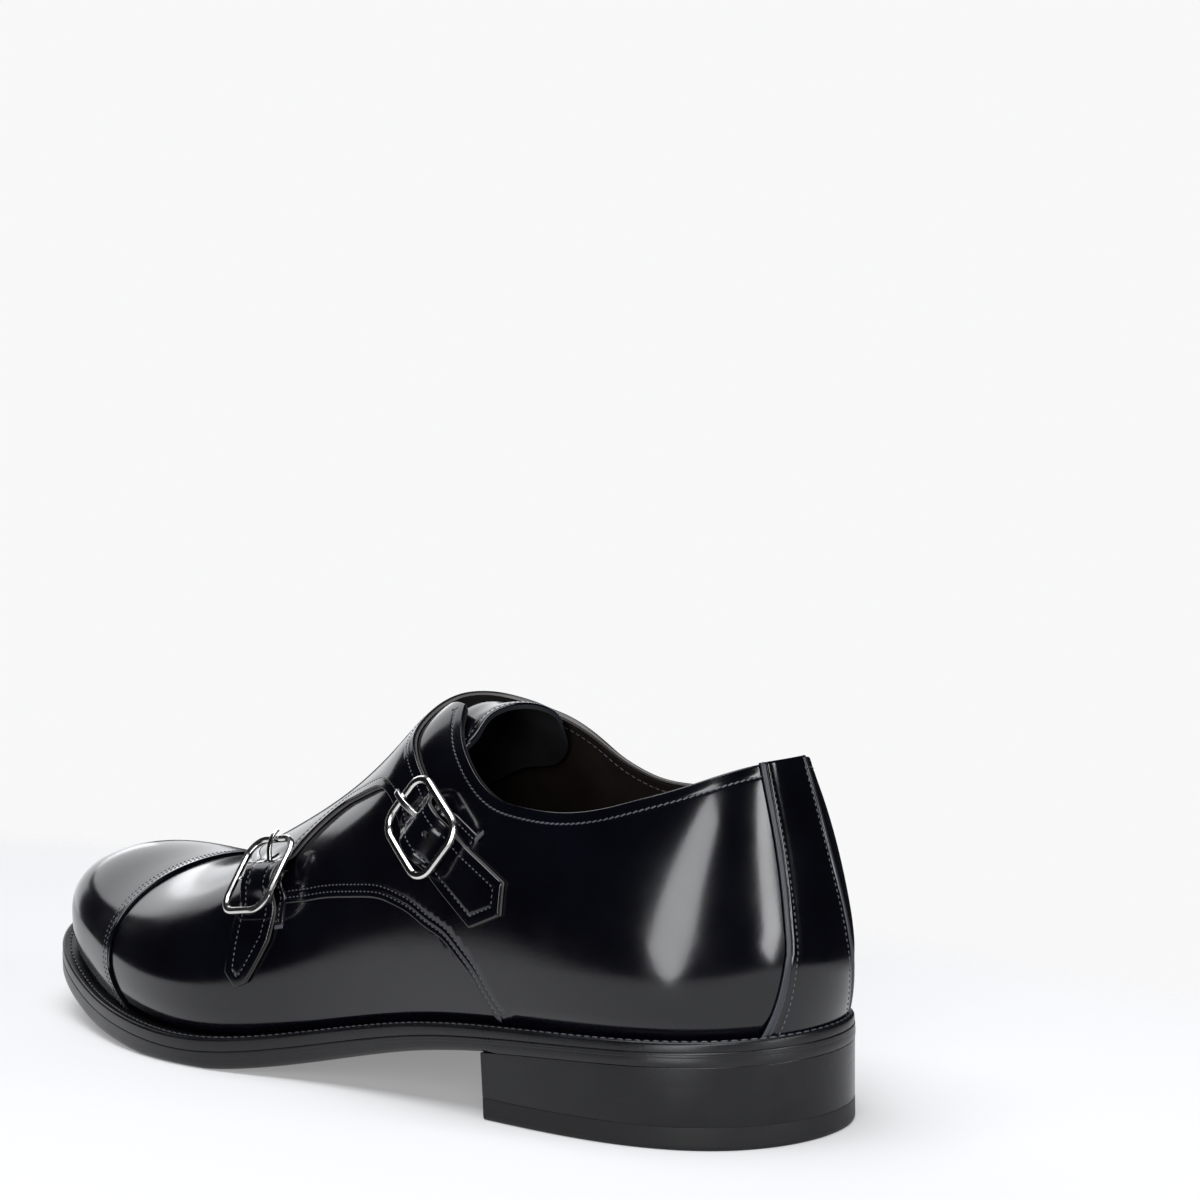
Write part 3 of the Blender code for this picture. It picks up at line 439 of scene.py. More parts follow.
class Builder:
    """Collects faces with their own normals, and welds what coincides into one mesh."""

    def __init__(self):
        self.points, self.normals, self.faces, self.slots, self.count = [], [], [], [], 0

    def add(self, points, normals, faces, slot=0):
        """Faces as rows of point numbers, each turned to agree with its points' normals."""
        faces = np.array(faces)
        points = np.asarray(points, float).reshape(-1, 3)
        normals = np.asarray(normals, float).reshape(-1, 3)
        corner = points[faces]
        facing = np.cross(corner[:, 2] - corner[:, 0], corner[:, -1] - corner[:, 1])
        backward = (facing * normals[faces].mean(1)).sum(1) < 0
        faces[backward] = faces[backward][:, ::-1]
        self.points.append(points)
        self.normals.append(normals)
        self.faces.append(faces + self.count)
        self.slots.append(np.full(len(faces), slot))
        self.count += len(points)

    def grid(self, points, normals, slot=0, closed=False):
        self.add(points, normals, quads(*points.shape[:2], closed), slot)

    def wall(self, upper, lower, outward, slot=0):
        """A band between two lines that face outward."""
        self.grid(np.stack([upper, lower]), np.stack([outward, outward]), slot)

    def build(self, name, materials):
        points = np.concatenate(self.points)
        normals = unit(np.concatenate(self.normals))
        rounded = np.round(points, 5)
        _, first, welded = np.unique(rounded, axis=0, return_index=True, return_inverse=True)
        welded = welded.reshape(-1)
        faces, slots, corner = [], [], []
        for block, slot in zip(self.faces, self.slots):
            for face, s in zip(block.tolist(), slot.tolist()):
                keep, seen = [], set()
                for k in face:
                    if welded[k] not in seen:
                        seen.add(welded[k])
                        keep.append(k)
                if len(keep) > 2:
                    faces.append([int(welded[k]) for k in keep])
                    corner += keep
                    slots.append(s)
        mesh = bpy.data.meshes.new(name)
        mesh.from_pydata((points[first] * MM).tolist(), [], faces)
        for finish in materials:
            mesh.materials.append(finish)
        mesh.polygons.foreach_set("use_smooth", np.ones(len(faces), bool))
        mesh.polygons.foreach_set("material_index", np.array(slots, np.int32))
        mesh.normals_split_custom_set(normals[corner].tolist())
        mesh.update()
        made = bpy.data.objects.new(name, mesh)
        bpy.context.scene.collection.objects.link(made)
        return made


def rides(piece, slot, *nodes):
    """Puts a piece on the root body in place of these nodes; the slot is not used."""
    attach(piece, "root")
    if nodes:
        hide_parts(*nodes)
    return piece


def grid_normals(points, closed=False):
    """Normals of a grid by differences; rows to the toe and columns to the lateral side face out."""
    along = np.gradient(points, axis=0)
    if closed:
        across = np.roll(points, -1, 1) - np.roll(points, 1, 1)
    else:
        across = np.gradient(points, axis=1)
    return unit(np.cross(along, across))


FOLD_SHARE = 0.97
GROOVE_WIDTH = 0.55


def fold(depth, radius):
    """How far a rounded edge of this radius drops at a depth inside it."""
    share = 1 - np.clip(depth / radius, 0.0, 1.0)
    return radius * (1 - np.sqrt(1 - (FOLD_SHARE * share) ** 2))


def groove(depth, at, sunk, width=GROOVE_WIDTH):
    """How deep a groove is that runs at one depth from an edge."""
    return sunk * np.exp(-(((depth - at) / width) ** 2))


# ---- seats of the buckles ------------------------------------------------------------------------
NEWTON_STEPS = 12


class Seat:
    """A buckle's place on the last. Local axes: along the strap toward its tip, across it, and out."""

    def __init__(self, name, station, turn, heading):
        """heading: degrees from straight back toward straight down."""
        self.name, self.turn, self.angle = name, turn, WIDEST.angle(station)
        self.origin = last_point(self.angle, turn)
        self.out = last_normal(self.angle, turn)
        back = unit(last_point(WIDEST.angle(station - 1.0), turn) - self.origin)
        down = unit(last_point(self.angle, turn + 0.01) - self.origin)
        along = back * np.cos(np.radians(heading)) + down * np.sin(np.radians(heading))
        self.along = unit(along - self.out * along.dot(self.out))
        self.across = -np.cross(self.out, self.along)

    def local(self, angle, turn):
        offset = last_point(angle, turn) - self.origin
        return offset @ self.along, offset @ self.across, offset @ self.out

    def place(self, along, across, out):
        local = np.stack(np.broadcast_arrays(along, across, out), -1).astype(float)
        return self.origin + local @ np.stack([self.along, self.across, self.out])

    def flat(self, along, across):
        """Local places, found in the plane by a few Newton steps."""
        def places(flat):
            return np.stack(self.local(*from_plane(flat))[:2], -1)

        wanted = np.stack([along, across], -1)
        here = np.repeat(to_plane(WIDEST.station(self.angle), self.turn)[None], len(wanted), 0)
        for _ in range(NEWTON_STEPS):
            now = places(here)
            by_x = (places(here + (PLANE_STEP, 0)) - now) / PLANE_STEP
            by_y = (places(here + (0, PLANE_STEP)) - now) / PLANE_STEP
            miss = wanted - now
            here = here + np.linalg.solve(np.stack([by_x, by_y], -1), miss[..., None])[..., 0]
        return here


UPPER_SEAT = Seat("upper", 102.9, 0.715, 40.0)
LOWER_SEAT = Seat("lower", 172.8, 0.612, 85.0)
SEATS = (UPPER_SEAT, LOWER_SEAT)

# ---- where the pieces lie: station, turn ---------------------------------------------------------
BACK = WIDEST.first
LATERAL_TOPLINE = (
    (BACK, 0.513), (2.4, 0.514), (8.9, 0.534), (18.3, 0.568), (29.3, 0.599), (41.3, 0.629),
    (54.8, 0.641), (70.1, 0.624), (78.4, 0.603), (85.8, 0.562), (92.0, 0.510), (98.1, 0.446),
    (102.9, 0.385), (108.2, 0.290), (112.5, 0.197),
)
QUARTER_FRONT = (
    (112.5, 0.197), (120.0, 0.168), (132.0, 0.165), (145.0, 0.210), (158.0, 0.300), (169.0, 0.430),
    (175.0, 0.560), (177.0, 0.660), (174.0, 0.722),
)
LATERAL_SEAM = (
    (174.0, 0.722), (167.0, 0.738), (160.0, 0.755), (155.9, 0.770), (147.6, 0.796), (136.9, 0.836),
    (128.4, 0.866), (122.0, 0.886), (115.8, 0.909), (109.6, 0.933), (105.6, 0.953), (101.7, 0.969),
    (97.4, 0.984), (92.1, 1.097), (86.7, 1.355), (82.1, 1.696), (77.2, 2.0),
)
MEDIAL_SEAM = (
    (184.0, -0.600), (172.0, -0.760), (158.0, -0.870), (140.0, -0.955), (120.0, -1.050),
    (104.0, -1.30), (94.0, -1.65), (88.0, -2.0),
)
COLLAR_EDGE = (
    (BACK, -0.513), (2.4, -0.514), (8.9, -0.536), (18.3, -0.571), (29.3, -0.602), (41.3, -0.633),
    (54.8, -0.648), (65.8, -0.641), (74.8, -0.617), (80.8, -0.579), (86.4, -0.527), (91.5, -0.455),
    (97.0, -0.385), (102.5, -0.340), (107.7, -0.316), (111.5, -0.292), (117.2, -0.248),
    (121.4, -0.173), (123.9, -0.074), (124.9, 0.042), (125.3, 0.140), (125.4, 0.225), (124.3, 0.325),
    (121.4, 0.405), (118.0, 0.462), (113.6, 0.518), (109.3, 0.562), (104.0, 0.615), (97.5, 0.675),
    (89.7, 0.745), (81.0, 0.800), (71.8, 0.856),
)
UPPER_TIP = ((71.8, 0.856), (73.0, 0.935)), ((73.0, 0.935), (84.4, 0.962))
UPPER_FRONT_EDGE = (
    (84.4, 0.962), (92.4, 0.907), (98.5, 0.861), (107.6, 0.781), (114.6, 0.710), (118.6, 0.650),
)
ARCH_EDGE = (
    (118.6, 0.650), (123.6, 0.593), (130.8, 0.528), (137.2, 0.490), (147.1, 0.437), (155.0, 0.408),
    (161.0, 0.433), (164.6, 0.500), (165.8, 0.580), (165.2, 0.680), (163.9, 0.790), (164.5, 0.868),
)
STRAP_FRONT = UPPER_FRONT_EDGE + ARCH_EDGE[1:]
LOWER_TIP = (
    ((164.5, 0.868), (172.0, 0.990)), ((172.0, 0.990), (175.4, 0.998)),
    ((175.4, 0.998), (178.8, 0.936)),
)
LOWER_FRONT_EDGE = (
    (178.8, 0.936), (178.5, 0.830), (178.7, 0.720), (178.8, 0.640), (179.1, 0.575), (182.3, 0.510),
    (189.0, 0.430), (197.5, 0.300), (202.5, 0.130), (203.5, -0.050), (200.5, -0.230), (194.0, -0.420),
    (184.0, -0.600),
)
TONGUE_EDGE = (
    (186, -0.30), (150, -0.42), (122, -0.55), (110, -0.555), (103.5, -0.50), (99.8, -0.41),
    (97.8, -0.28), (97.8, -0.14), (99.5, 0.0), (101.8, 0.12), (103.0, 0.22), (103.4, 0.32),
    (106.0, 0.42), (113.0, 0.485), (124.0, 0.49), (150, 0.42), (186, 0.30),
)
STRIP_EDGE = table("turn length", (
    (0.50, 12.3), (0.60, 11.5), (0.75, 10.85), (0.85, 11.1), (0.93, 11.9), (1.0, 12.9), (1.1, 13.7),
    (1.3, 14.6), (1.6, 16.2), (1.8, 17.7), (2.0, 19.6),
))["length"]
UNDER = 2.0

# ---- lifts of the pieces -------------------------------------------------------------------------
LEATHER = 1.1
QUARTER_LIFT = 0.35
STRAP_THICKNESS = 1.4
STRAP_LIFT = 0.6
STRAP_OVER_BAR = 3.9
STRAP_RISE_LENGTH = 5.6
STRAP_HALF_WIDTH = 10.5
STRAP_FREE_FROM, STRAP_FREE_OVER = -0.64, 0.32
STRAP_EASE = 2.0
TAB_LIFT = -0.3
TAB_THICKNESS = 0.96
TAB_THINNED = 0.5
TAB_OVER_BAR = 2.9
TAB_RISE_LENGTH = 3.4
LINING_THICKNESS, LINING_IN = 0.95, -2.0
LINING_GAP = 0.04
TONGUE_LIFT, TONGUE_RISE, TONGUE_THICKNESS = -3.0, 1.9, 1.7
TONGUE_FREE_STATION, TONGUE_FREE_OVER = 112, 12
TONGUE_MIDDLE, TONGUE_HALF_TURN, TONGUE_TURN_OVER = -0.03, 0.36, 0.16
VAMP_SUNK, VAMP_SUNK_FROM, VAMP_SUNK_OVER = 0.6, 0.5, 4
CAP_TOP = 0.95
CAP_UNDER = -0.15
STRIP_TOP = 0.95
STRIP_BEAD = 0.3
STRIP_BEAD_WIDTH = 1.7
EDGE_ROWS = (0.1, 0.24, 0.42, 0.7, 1.15)
HOLE_ROWS = (0.12, 0.3, 0.8)
HOLE_FOLD, LINING_FOLD, CAP_FOLD, STRIP_FOLD = 0.2, 0.35, 0.45, 0.5

# Stitched rows: their depths from an edge, and how far each is sunk.
SEAM_ROWS, CAP_ROWS = (1.7, 3.6), (2.2, 4.2)
TOPLINE_ROW, COLLAR_ROW, TONGUE_ROW, TAB_ROW, STRIP_ROW, LINING_ROW = 3.1, 2.8, 2.2, 1.5, 3.4, 2.6
SUNK, SUNK_DEEPER = 0.10, 0.12


def near_bar(along, reach):
    """1 over a buckle's bar and 0 away from it."""
    return np.exp(-np.abs(along / reach) ** 3)


def strap_share(turn):
    """0 where the leather is the medial quarter and 1 where it is a strap."""
    return ease((turn - STRAP_FREE_FROM) / STRAP_FREE_OVER)


# The functions below give a lift at (angle, turn, base), where base is the place on the last.
def lateral_top(angle, turn, base):
    return np.full(len(base), QUARTER_LIFT)


def strap_under(angle, turn, base):
    free = strap_share(turn)
    lift = (QUARTER_LIFT - LEATHER) * (1 - free) + STRAP_LIFT * free
    for seat in SEATS:
        along, across, out = seat.local(angle, turn)
        beside = ease((STRAP_HALF_WIDTH - np.abs(across)) / STRAP_EASE)
        over_bar = near_bar(along, STRAP_RISE_LENGTH) * beside
        lift = lift + (STRAP_OVER_BAR - out - lift) * over_bar * (turn > 0)
    return lift


def strap_top(angle, turn, base):
    return strap_under(angle, turn, base) + LEATHER + (STRAP_THICKNESS - LEATHER) * strap_share(turn)


def tab_under(seat):
    """A tab's underside: flat on the quarter, and rising round its bar."""
    def lift(angle, turn, base):
        along, _, out = seat.local(angle, turn)
        return TAB_LIFT + (TAB_OVER_BAR - out - TAB_LIFT) * near_bar(along, TAB_RISE_LENGTH)
    return lift


def tab_top(seat):
    def lift(angle, turn, base):
        thinned = TAB_THINNED * near_bar(seat.local(angle, turn)[0], TAB_RISE_LENGTH)
        return tab_under(seat)(angle, turn, base) + TAB_THICKNESS - thinned
    return lift


def tongue_top(angle, turn, base):
    behind = ease((TONGUE_FREE_STATION - WIDEST.station(angle)) / TONGUE_FREE_OVER)
    between = ease((TONGUE_HALF_TURN - np.abs(turn - TONGUE_MIDDLE)) / TONGUE_TURN_OVER)
    return TONGUE_LIFT + TONGUE_RISE * behind * between


def lowered(top, thickness):
    """The lift of a sheet's underside."""
    return lambda angle, turn, base: top(angle, turn, base) - thickness


# ---- panels --------------------------------------------------------------------------------------
FACE, WALL, BACKING = 0, 1, 2
GRID_ROW = 0.87
GRID_GAP = 0.55


class Panel:
    """A thin sheet cut to a ring, with folded edges, sewn grooves and holes."""

    def __init__(self, ring, top, bottom, spacing, radius=0.42, grooves=(), holes=(), finer=None):
        """grooves: (depth from the edge, sunk, the ring's lines). finer: (spacing, where it holds)."""
        self.ring, self.holes, self.finer = ring, list(holes), finer
        self.top, self.bottom, self.radius, self.grooves = top, bottom, radius, grooves
        self.mesh_plane(spacing)

    def mesh_plane(self, spacing):
        rings = [self.ring, *self.holes]
        beside = (-GROOVE_WIDTH, 0.0, GROOVE_WIDTH)
        depths = sorted({*EDGE_ROWS, *(at + side for at, _, _ in self.grooves for side in beside)})
        rows = [(self.ring, depth) for depth in depths]
        rows += [(hole, depth) for hole in self.holes for depth in HOLE_ROWS]
        points = [ring.flat for ring in rings]
        for ring, depth in rows:
            moved, clear = ring.offset(depth)
            points.append(moved[clear])
        fill = ((spacing, False), (self.finer[0], True)) if self.finer else ((spacing, None),)
        for step, wanted in fill:
            grid = self.grid(step)
            if self.finer:
                grid = grid[self.finer[1](*from_plane(grid)) == wanted]
            base = last_point(*from_plane(grid))
            keep = self.ring.distance(base)[0] > depths[-1] + GRID_GAP * step
            for hole in self.holes:
                keep &= hole.distance(base)[0] > HOLE_ROWS[-1] + GRID_GAP * step
            points.append(grid[keep])
        edges, start = [], 0
        for ring in rings:
            count = len(ring.flat)
            edges += [(start + k, start + (k + 1) % count) for k in range(count)]
            start += count
        points = [tuple(point) for point in np.concatenate(points)]
        flat, _, triangles, *_ = delaunay_2d_cdt(points, edges, [], 0, 1e-5)
        self.flat = np.array([tuple(point) for point in flat])
        triangles = np.array(triangles)
        middle = self.flat[triangles].mean(1)
        inside = within(middle, self.ring.flat)
        for hole in self.holes:
            inside &= ~within(middle, hole.flat)
        self.triangles = triangles[inside]
        used = np.unique(self.triangles)
        renumber = np.full(len(self.flat), -1)
        renumber[used] = np.arange(len(used))
        self.flat, self.triangles = self.flat[used], renumber[self.triangles]

    def grid(self, spacing):
        """Places inside the ring on a triangular grid."""
        low, high = self.ring.flat.min(0), self.ring.flat.max(0)
        columns = np.arange(low[0], high[0], spacing)
        grid = np.stack(np.meshgrid(columns, np.arange(low[1], high[1], spacing * GRID_ROW)), -1)
        grid[1::2, :, 0] += spacing / 2
        grid = grid.reshape(-1, 2)
        return grid[within(grid, self.ring.flat)]

    def top_lift(self, flat):
        angle, turn = from_plane(flat)
        base = last_point(angle, turn)
        depth, line = self.ring.distance(base)
        lift = self.top(angle, turn, base)
        for at, sunk, lines in self.grooves:
            lift = lift - groove(depth, at, sunk) * np.isin(line, lines)
        for hole in self.holes:
            lift = lift - fold(hole.distance(base)[0], HOLE_FOLD)
        return lift - fold(depth, self.radius)

    def bottom_lift(self, flat):
        angle, turn = from_plane(flat)
        return self.bottom(angle, turn, last_point(angle, turn))

    def surface(self, flat, lift_of):
        return on_last(*from_plane(flat), lift_of(flat))

    def normals(self, flat, lift_of):
        margin = 2 * PLANE_STEP
        base = np.column_stack([np.clip(flat[:, 0], margin, LENGTHS[-1] - margin), flat[:, 1]])
        along, across = (self.surface(base + move, lift_of) - self.surface(base - move, lift_of)
                         for move in np.eye(2) * PLANE_STEP)
        normal = np.cross(along, across)
        normal[flat[:, 0] < margin, 0] = 0.0
        return unit(normal)

    def build(self, name, finishes, layers=((0.0, WALL),)):
        """layers: the wall's bands as (share of the way up where each starts, slot), lowest first."""
        made = Builder()
        over = self.surface(self.flat, self.top_lift)
        under = self.surface(self.flat, self.bottom_lift)
        made.add(over, self.normals(self.flat, self.top_lift), self.triangles, FACE)
        made.add(under, -self.normals(self.flat, self.bottom_lift), self.triangles, BACKING)
        edges = np.concatenate([self.triangles[:, pair] for pair in ([0, 1], [1, 2], [2, 0])])
        edges, count = np.unique(np.sort(edges, 1), axis=0, return_counts=True)
        edges = edges[count == 1]
        outward = np.zeros((len(self.flat), 3))
        rim = np.unique(edges)
        base = last_point(*from_plane(self.flat[rim]))
        best = np.full(len(rim), FAR)
        for ring in [self.ring, *self.holes]:
            index = np.array([ring.tree.find(p)[1] for p in base])
            gap = np.linalg.norm(ring.points[index] - base, axis=1)
            nearer = gap < best
            outward[rim[nearer]] = -ring.inward[index[nearer]]
            best = np.minimum(best, gap)
        starts = [share for share, _ in layers] + [1.0]
        for (share, slot), stop in zip(layers, starts[1:]):
            low, high = under + (over - under) * share, under + (over - under) * stop
            first, last = edges.T
            corners = np.stack([high[first], high[last], low[last], low[first]], 1)
            facing = outward[edges[:, [0, 1, 1, 0]]]
            made.add(corners, facing, np.arange(len(edges) * 4).reshape(-1, 4), slot)
        return made.build(name, finishes)

    def rows_at(self, depth, lines):
        """Runs of plane points at this depth inside these lines of the ring."""
        moved, clear = self.ring.offset(depth)
        wanted = clear & np.isin(self.ring.lines, lines)
        runs, run = [], []
        start = int(np.argmin(wanted)) if not wanted.all() else 0
        for k in np.roll(np.arange(len(moved)), -start):
            if wanted[k]:
                run.append(moved[k])
            elif run and not np.isin(self.ring.lines[k], lines):
                runs.append(np.array(run))
                run = []
        if run:
            runs.append(np.array(run))
        return [run for run in runs if len(run) > 3]


# ---- stitches ------------------------------------------------------------------------------------
THREAD = Builder()
STITCH_AROUND = 8
STITCH_ALONG = np.array((-1.0, -0.86, -0.5, 0.0, 0.5, 0.86, 1.0))
STITCH_SINK = 0.16
STITCH_RISE = 0.05
STITCH_TIP = 0.08
STITCH_LOOK = 0.4
STITCH_END = 0.35


def sew(points, normals, pitch=1.6, length=1.0, width=0.38, height=0.32, slant=0.0):
    """Stitches along a line of world points, each a short rounded thread that dips in at its ends."""
    run = lengths_along(points)
    count = int(run[-1] / pitch)
    if count < 1:
        return
    place = (np.arange(count) + 0.5) * run[-1] / count

    def at(values, where):
        return np.column_stack([np.interp(where, run, column) for column in values.T])

    up = unit(at(normals, place))
    along = at(points, place + STITCH_LOOK) - at(points, place - STITCH_LOOK)
    along = unit(along - up * (along * up).sum(1)[:, None])
    along = along * np.cos(slant) + np.cross(up, along) * np.sin(slant)
    axes = np.stack([along, np.cross(up, along), up], 1)
    share = STITCH_ALONG[:, None]
    thick = np.sqrt(np.maximum(1 - share**4, 0.0)) * (1 - STITCH_TIP) + STITCH_TIP
    bearing = np.linspace(0, 2 * np.pi, STITCH_AROUND + 1)[:-1]
    side = np.cos(bearing) * thick * width / 2
    rise = np.sin(bearing) * thick * height / 2 - STITCH_SINK * share**2 + STITCH_RISE
    run_on = np.broadcast_to(share * length / 2, side.shape)
    shape = np.stack([run_on, side, rise], -1)
    circle = [np.broadcast_to(wave(bearing), side.shape) for wave in (np.cos, np.sin)]
    facing = np.stack([STITCH_END * run_on / length, *circle], -1)
    placed = np.einsum("rci,nij->nrcj", shape, axes) + at(points, place)[:, None, None]
    faced = np.einsum("rci,nij->nrcj", facing, axes)
    first = (np.arange(count) * side.size)[:, None, None]
    THREAD.add(placed, faced, (quads(*side.shape, True) + first).reshape(-1, 4))


def sew_panel(panel, depth, lines, **options):
    """A stitched row at one depth from these lines of a panel's ring."""
    for run in panel.rows_at(depth, lines):
        sew(panel.surface(run, panel.top_lift), panel.normals(run, panel.top_lift), **options)


# ---- finishes ------------------------------------------------------------------------------------
PATCHES = 60.0
PATCH_RANGE = (0.3, 0.7)
COAT_ROUGHNESS = 0.08


def add_node(tree, kind, values=None, links=None):
    """A shader node with these values in its inputs, and these sockets linked to them."""
    made = tree.nodes.new("ShaderNode" + kind)
    fill_in(tree, made, values or {}, links or {})
    return made


def fill_in(tree, node, values, links):
    for key, value in values.items():
        node.inputs[key].default_value = value
    for key, source in links.items():
        tree.links.new(source, node.inputs[key])


def new_material(name):
    """(material, its tree, its shader)."""
    made = bpy.data.materials.new(name)
    made.use_nodes = True
    return made, made.node_tree, made.node_tree.nodes["Principled BSDF"]


def finish(name, colour, roughness, metallic=0.0, tint=0.25, grain=900.0, depth=0.00002, scatter=0.05,
           coat=0.0, specular=0.5):
    """A procedural finish: colour and roughness vary in soft patches, and a fine grain stands up."""
    made, tree, shader = new_material(name)
    place = add_node(tree, "TexCoord").outputs["Object"]

    def noise(scale, detail):
        values = {"Scale": scale, "Detail": detail}
        return add_node(tree, "TexNoise", values, {"Vector": place}).outputs["Fac"]

    def between(source, low, high):
        values = dict(zip(("From Min", "From Max", "To Min", "To Max"), (*PATCH_RANGE, low, high)))
        return add_node(tree, "MapRange", values, {"Value": source}).outputs["Result"]

    soft, fine = noise(PATCHES, 3.0), noise(grain, 4.0)
    mix = tree.nodes.new("ShaderNodeMix")
    mix.data_type = "RGBA"
    darker, lighter = ((*(part * share for part in colour), 1) for share in (1 - tint, 1 + tint))
    fill_in(tree, mix, {"A": darker, "B": lighter}, {"Factor": between(soft, 0.0, 1.0)})
    bump = add_node(tree, "Bump", {"Strength": 1.0, "Distance": depth}, {"Height": fine})
    fill_in(tree, shader, {
        "Metallic": metallic, "Specular IOR Level": specular, "Coat Weight": coat,
        "Coat Roughness": COAT_ROUGHNESS,
    }, {
        "Base Color": mix.outputs["Result"], "Normal": bump.outputs["Normal"],
        "Roughness": between(soft, roughness - scatter, roughness + scatter),
    })
    return made


CALF = finish("polished black calf", (0.0012, 0.0013, 0.0028), 0.15, coat=0.1, depth=0.000008,
              scatter=0.03, specular=0.45)
CUT = finish("raw leather edge", (0.10, 0.092, 0.088), 0.55, tint=0.3, grain=1500, depth=0.00005)
INKED = finish("inked leather edge", (0.010, 0.011, 0.015), 0.32, depth=0.00003)
SUEDE = finish("flesh side of leather", (0.030, 0.026, 0.024), 0.85, grain=2500, depth=0.00006)
FELT = finish("black lining", (0.006, 0.006, 0.007), 0.6, grain=1500, depth=0.00004)
# The back strip's raised edge beads get a lighter blue grey colour, a painted highlight for the light
# the beads catch.
PAINTED_HIGHLIGHT_BEAD = finish("edge bead with painted blue grey highlight", (0.022, 0.024, 0.032), 0.38, grain=1500, depth=0.00003)
# The lining's own brown, darkened further as painted shade for the dim inside of the shoe.
LINING_BROWN_AND_SHADE = finish("brown lining", (0.0075, 0.0045, 0.0029), 0.55, tint=0.2, grain=700, depth=0.00003)
SOCK = finish("sock leather", (0.020, 0.013, 0.009), 0.5, tint=0.2, grain=700, depth=0.00003)
SOLE_EDGE = finish("waxed sole edge", (0.0045, 0.0045, 0.0052), 0.30, specular=0.38, tint=0.35,
                   grain=1200, depth=0.00003)
SOLE_UNDER = finish("sole leather", (0.020, 0.016, 0.013), 0.45, tint=0.3, grain=500, depth=0.00005)
HEEL_STACK = finish("stacked heel leather", (0.0045, 0.0045, 0.0056), 0.27, specular=0.30, tint=0.35)
RUBBER = finish("heel rubber", (0.005, 0.005, 0.0056), 0.5, specular=0.3, grain=1800, depth=0.00004)
CORK = finish("cork filler", (0.32, 0.20, 0.10), 0.9, tint=0.4, grain=600, depth=0.0002)
NICKEL = finish("polished nickel", (0.72, 0.71, 0.69), 0.16, 1.0, tint=0.04, grain=2500, depth=0.000004,
                scatter=0.04)
COTTON = finish("waxed thread", (0.055, 0.056, 0.068), 0.42, tint=0.3, grain=4000, depth=0.00003)

# ---- uppers --------------------------------------------------------------------------------------
OUTLINE_SPACING, TAB_SPACING = 1.2, 0.8
VAMP_MESH, QUARTER_MESH, STRAPS_MESH = 2.4, 1.6, 1.7
BUCKLES_MESH, TONGUE_MESH, TAB_MESH = 0.85, 2.0, 1.2


def ring_of(*lines):
    return Ring(*outline(lines, OUTLINE_SPACING))


def local_line(seat, corners):
    """A closed ring in the plane through local corners of a seat."""
    places, lines = [], []
    for k, (start, stop) in enumerate(zip(corners, corners[1:] + corners[:1])):
        start, stop = np.array(start, float), np.array(stop, float)
        steps = max(2, int(np.hypot(*(stop - start)) / TAB_SPACING))
        places += [start + (stop - start) * step / steps for step in range(steps)]
        lines += [k] * steps
    return seat.flat(*np.array(places).T), np.array(lines)


def cap_seam_at(turn):
    """The station where the toe cap starts."""
    return CAP_SEAM - CAP_SEAM_BOW * turn**2


def round_hole(seat, along, across, radius):
    bearing = np.linspace(0, 2 * np.pi, 25)[:-1]
    places = along + radius * np.cos(bearing), across + radius * np.sin(bearing)
    return Ring(seat.flat(*places), hole=True)


def slot_hole(seat, middle, length, width):
    bearing = np.linspace(0, 2 * np.pi, 33)[:-1]
    straight = (length - width) / 2 * np.sign(np.cos(bearing))
    along = middle + straight + width / 2 * np.cos(bearing)
    return Ring(seat.flat(along, width / 2 * np.sin(bearing)), hole=True)


VAMP_REAR = (
    (69.0, 2.0), (73.0, 1.70), (78.0, 1.36), (84.0, 1.10), (90.0, 0.985), (100.0, 0.925),
    (112.0, 0.865), (125.0, 0.812), (140.0, 0.755), (152.0, 0.690), (160.0, 0.550), (165.0, 0.300),
    (166.0, 0.0), (166.0, -0.300), (163.0, -0.560), (155.0, -0.720), (145.0, -0.810), (130.0, -0.885),
    (112.0, -0.985), (97.0, -1.20), (87.0, -1.60), (81.0, -2.0),
)
VAMP_UNDER_CAP = 6
vamp_ring = ring_of(
    VAMP_REAR, ((81.0, -UNDER), (236.0, -UNDER)),
    [(cap_seam_at(turn) + VAMP_UNDER_CAP, turn) for turn in np.linspace(-UNDER, UNDER, 15)],
    ((236.0, UNDER), (69.0, UNDER)))


def vamp_top(angle, turn, base):
    """The vamp sinks where it runs under the quarters."""
    depth, line = vamp_ring.distance(base)
    return -VAMP_SUNK * (1 - ease((depth - VAMP_SUNK_FROM) / VAMP_SUNK_OVER)) * (line == 0)


vamp = Panel(vamp_ring, vamp_top, lowered(vamp_top, LEATHER), VAMP_MESH)
rides(vamp.build("vamp", [CALF, CALF, SUEDE]), "upper_leather", "upper")

quarter = Panel(
    ring_of(((BACK, UNDER), (BACK, 0.513)), LATERAL_TOPLINE, QUARTER_FRONT, LATERAL_SEAM,
            ((77.2, UNDER), (BACK, UNDER))),
    lateral_top, lowered(lateral_top, LEATHER), QUARTER_MESH,
    grooves=((TOPLINE_ROW, SUNK, (1,)), *((row, SUNK, (3,)) for row in SEAM_ROWS)),
)
rides(quarter.build("quarter_lateral", [CALF, INKED, SUEDE]), "upper_leather", "upper")
sew_panel(quarter, TOPLINE_ROW, (1,), pitch=1.7, length=1.7, slant=0.22, width=0.48)
for row in SEAM_ROWS:
    sew_panel(quarter, row, (3,))


NEAR_ALONG, NEAR_ACROSS, NEAR_FROM_TURN = 17, 13, 0.2


def near_buckles(angle, turn):
    """Where the straps run under a buckle."""
    near = np.zeros(len(angle), bool)
    for seat in SEATS:
        along, across, _ = seat.local(angle, turn)
        near |= (np.abs(along) < NEAR_ALONG) & (np.abs(across) < NEAR_ACROSS) & (turn > NEAR_FROM_TURN)
    return near


